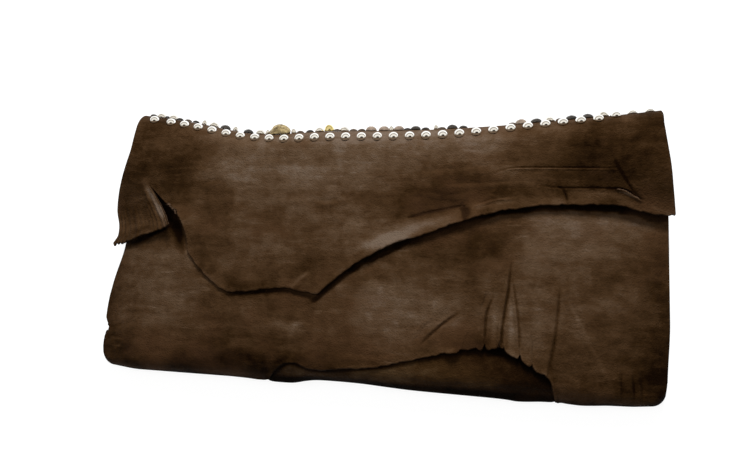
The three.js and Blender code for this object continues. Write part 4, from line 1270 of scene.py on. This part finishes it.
# %% [markdown]
# ## Studio
#
# A plain pale floor and two soft lamps. The main lamp stands beyond the fold, so the ragged edges throw their
# shadow towards the bottom of the bag. The floor is a light table: its own glow keeps it white.

# %% Floor
FLOOR_SIZE, FLOOR_Z = 4.0, -3e-4  # half its side, and a hair below the back, so that the two never flicker
PAPER = (0.17, 0.17, 0.169, 1.0), (0.18, 0.18, 0.18, 1.0)
PAPER_ROUGH, GLOW = 0.9, 0.9


def plain_floor(size):
    """A flat square of pale paper, lit from below."""
    mesh = bpy.data.meshes.new("floor")
    corners = [(-size, -size), (size, -size), (size, size), (-size, size)]
    mesh.from_pydata([(x, y, FLOOR_Z) for x, y in corners], [], [(0, 1, 2, 3)])
    made = bpy.data.objects.new("floor", mesh)
    bpy.context.scene.collection.objects.link(made)
    paper, tree, shader = new_material("pale_paper")
    colour = blend_colour(tree, group_outputs(tree, clouds)["Tone"], *PAPER)
    tree.links.new(colour, shader.inputs["Base Color"])
    shader.inputs["Roughness"].default_value = PAPER_ROUGH
    shader.inputs["Emission Color"].default_value = (1.0, 1.0, 1.0, 1.0)
    shader.inputs["Emission Strength"].default_value = GLOW
    mesh.materials.append(paper)
    return made


floor = plain_floor(FLOOR_SIZE)
print("floor, metres:", 2 * FLOOR_SIZE)


# %% Lamps
def soft_lamp(name, place, target, size, power):
    """A square area lamp that faces its target."""
    lamp = bpy.data.lights.new(name, "AREA")
    lamp.shape, lamp.size, lamp.energy = "SQUARE", size, power
    made = bpy.data.objects.new(name, lamp)
    made.location = place
    made.visible_glossy = False  # polished pieces mirror the room and not the lamp
    made.rotation_euler = (Vector(target) - Vector(place)).to_track_quat("-Z", "Y").to_euler()
    bpy.context.scene.collection.objects.link(made)


soft_lamp("main_lamp", (0.08, 0.74, 0.70), (0.0, 0.0, 0.02), 0.24, 17.4)
soft_lamp("top_lamp", (-0.1, 0.10, 1.25), (0.0, 0.0, 0.0), 0.7, 5.0)
bpy.context.scene.view_settings.view_transform = "Standard"

# %% [markdown]
# What a polished dome shows is the room. The photographed studs have white arches over a dark dot: white
# walls beyond the bag with a grey gap between two of them, a dark camera, and a brown room behind it. The
# leather hardly notices any of this, so the picture of the room is kept for mirrors and the light stays even.

# %% Room
TO_CAMERA, PAST_CAMERA = (0.217, -0.336, 0.917), (0.0, 0.939, 0.344)  # directions from the middle stud
WHITE, GREY, BLACK = (0.88, 0.84, 0.77), (0.22, 0.20, 0.18), (0.01, 0.009, 0.008)
BROWN = (0.145, 0.102, 0.068, 1.0)
IN_MIRRORS, ON_LEATHER = 1.08, 0.31  # brightness of the room in reflections, and as soft light
world = bpy.data.worlds.new("room")
world.use_nodes = True
room = world.node_tree
sky = room.nodes["Background"]
direction = add(room, "ShaderNodeTexCoord").outputs["Generated"]


def part_of_room(towards, low, high):
    """How far a direction points towards another: 0 to 1 as their dot product goes from low to high."""
    facing = add(room, "ShaderNodeVectorMath", {0: direction, 1: towards}, operation="DOT_PRODUCT")
    return remap(room, facing.outputs["Value"], low, high)


walls = ramp(room, part_of_room(TO_CAMERA, -0.3, 1.0), [
    (0.15, WHITE), (0.19, GREY), (0.37, GREY), (0.42, WHITE), (0.85, WHITE), (0.90, BLACK), (1.0, BLACK)])
walls = blend_colour(room, part_of_room(PAST_CAMERA, -0.03, 0.07), BROWN, walls)
rays = add(room, "ShaderNodeLightPath").outputs
room.links.new(blend_colour(room, rays["Is Glossy Ray"], (1.0, 1.0, 1.0, 1.0), walls), sky.inputs["Color"])
level = weighted(room, (rays["Is Glossy Ray"], IN_MIRRORS), (rays["Is Diffuse Ray"], ON_LEATHER))
room.links.new(sum_of(room, level, rays["Is Camera Ray"], "MAXIMUM"), sky.inputs["Strength"])
bpy.context.scene.world = world
print("the room's dark camera is towards", TO_CAMERA)

# %% [markdown]
# ## Camera
#
# The photograph looks down on the bag from a little to its right and below. The camera's place and its three
# directions were found by fitting the bag's corners to their places in the picture.

# %% Camera
EYE = np.array([96.73, -81.82, 439.66])  # mm, from the middle of the bag
RIGHT, UP, BACK = (0.9761, 0.0706, -0.2057), (-0.0258, 0.9767, 0.2129), (0.2159, -0.2025, 0.9552)
FOCAL_PIXELS, IMAGE_WIDTH = 708.0, 744.0
camera = bpy.data.objects.new("camera", bpy.data.cameras.new("camera"))
camera.data.sensor_width = 36.0
camera.data.lens = FOCAL_PIXELS / IMAGE_WIDTH * camera.data.sensor_width
camera.data.clip_start = 0.01
turn = Matrix((RIGHT, UP, BACK)).transposed().to_4x4()
camera.matrix_world = Matrix.Translation(Vector((EYE + SHIFT) * MM)) @ turn
bpy.context.scene.collection.objects.link(camera)
bpy.context.scene.camera = camera
print("lens, mm:", round(camera.data.lens, 2))
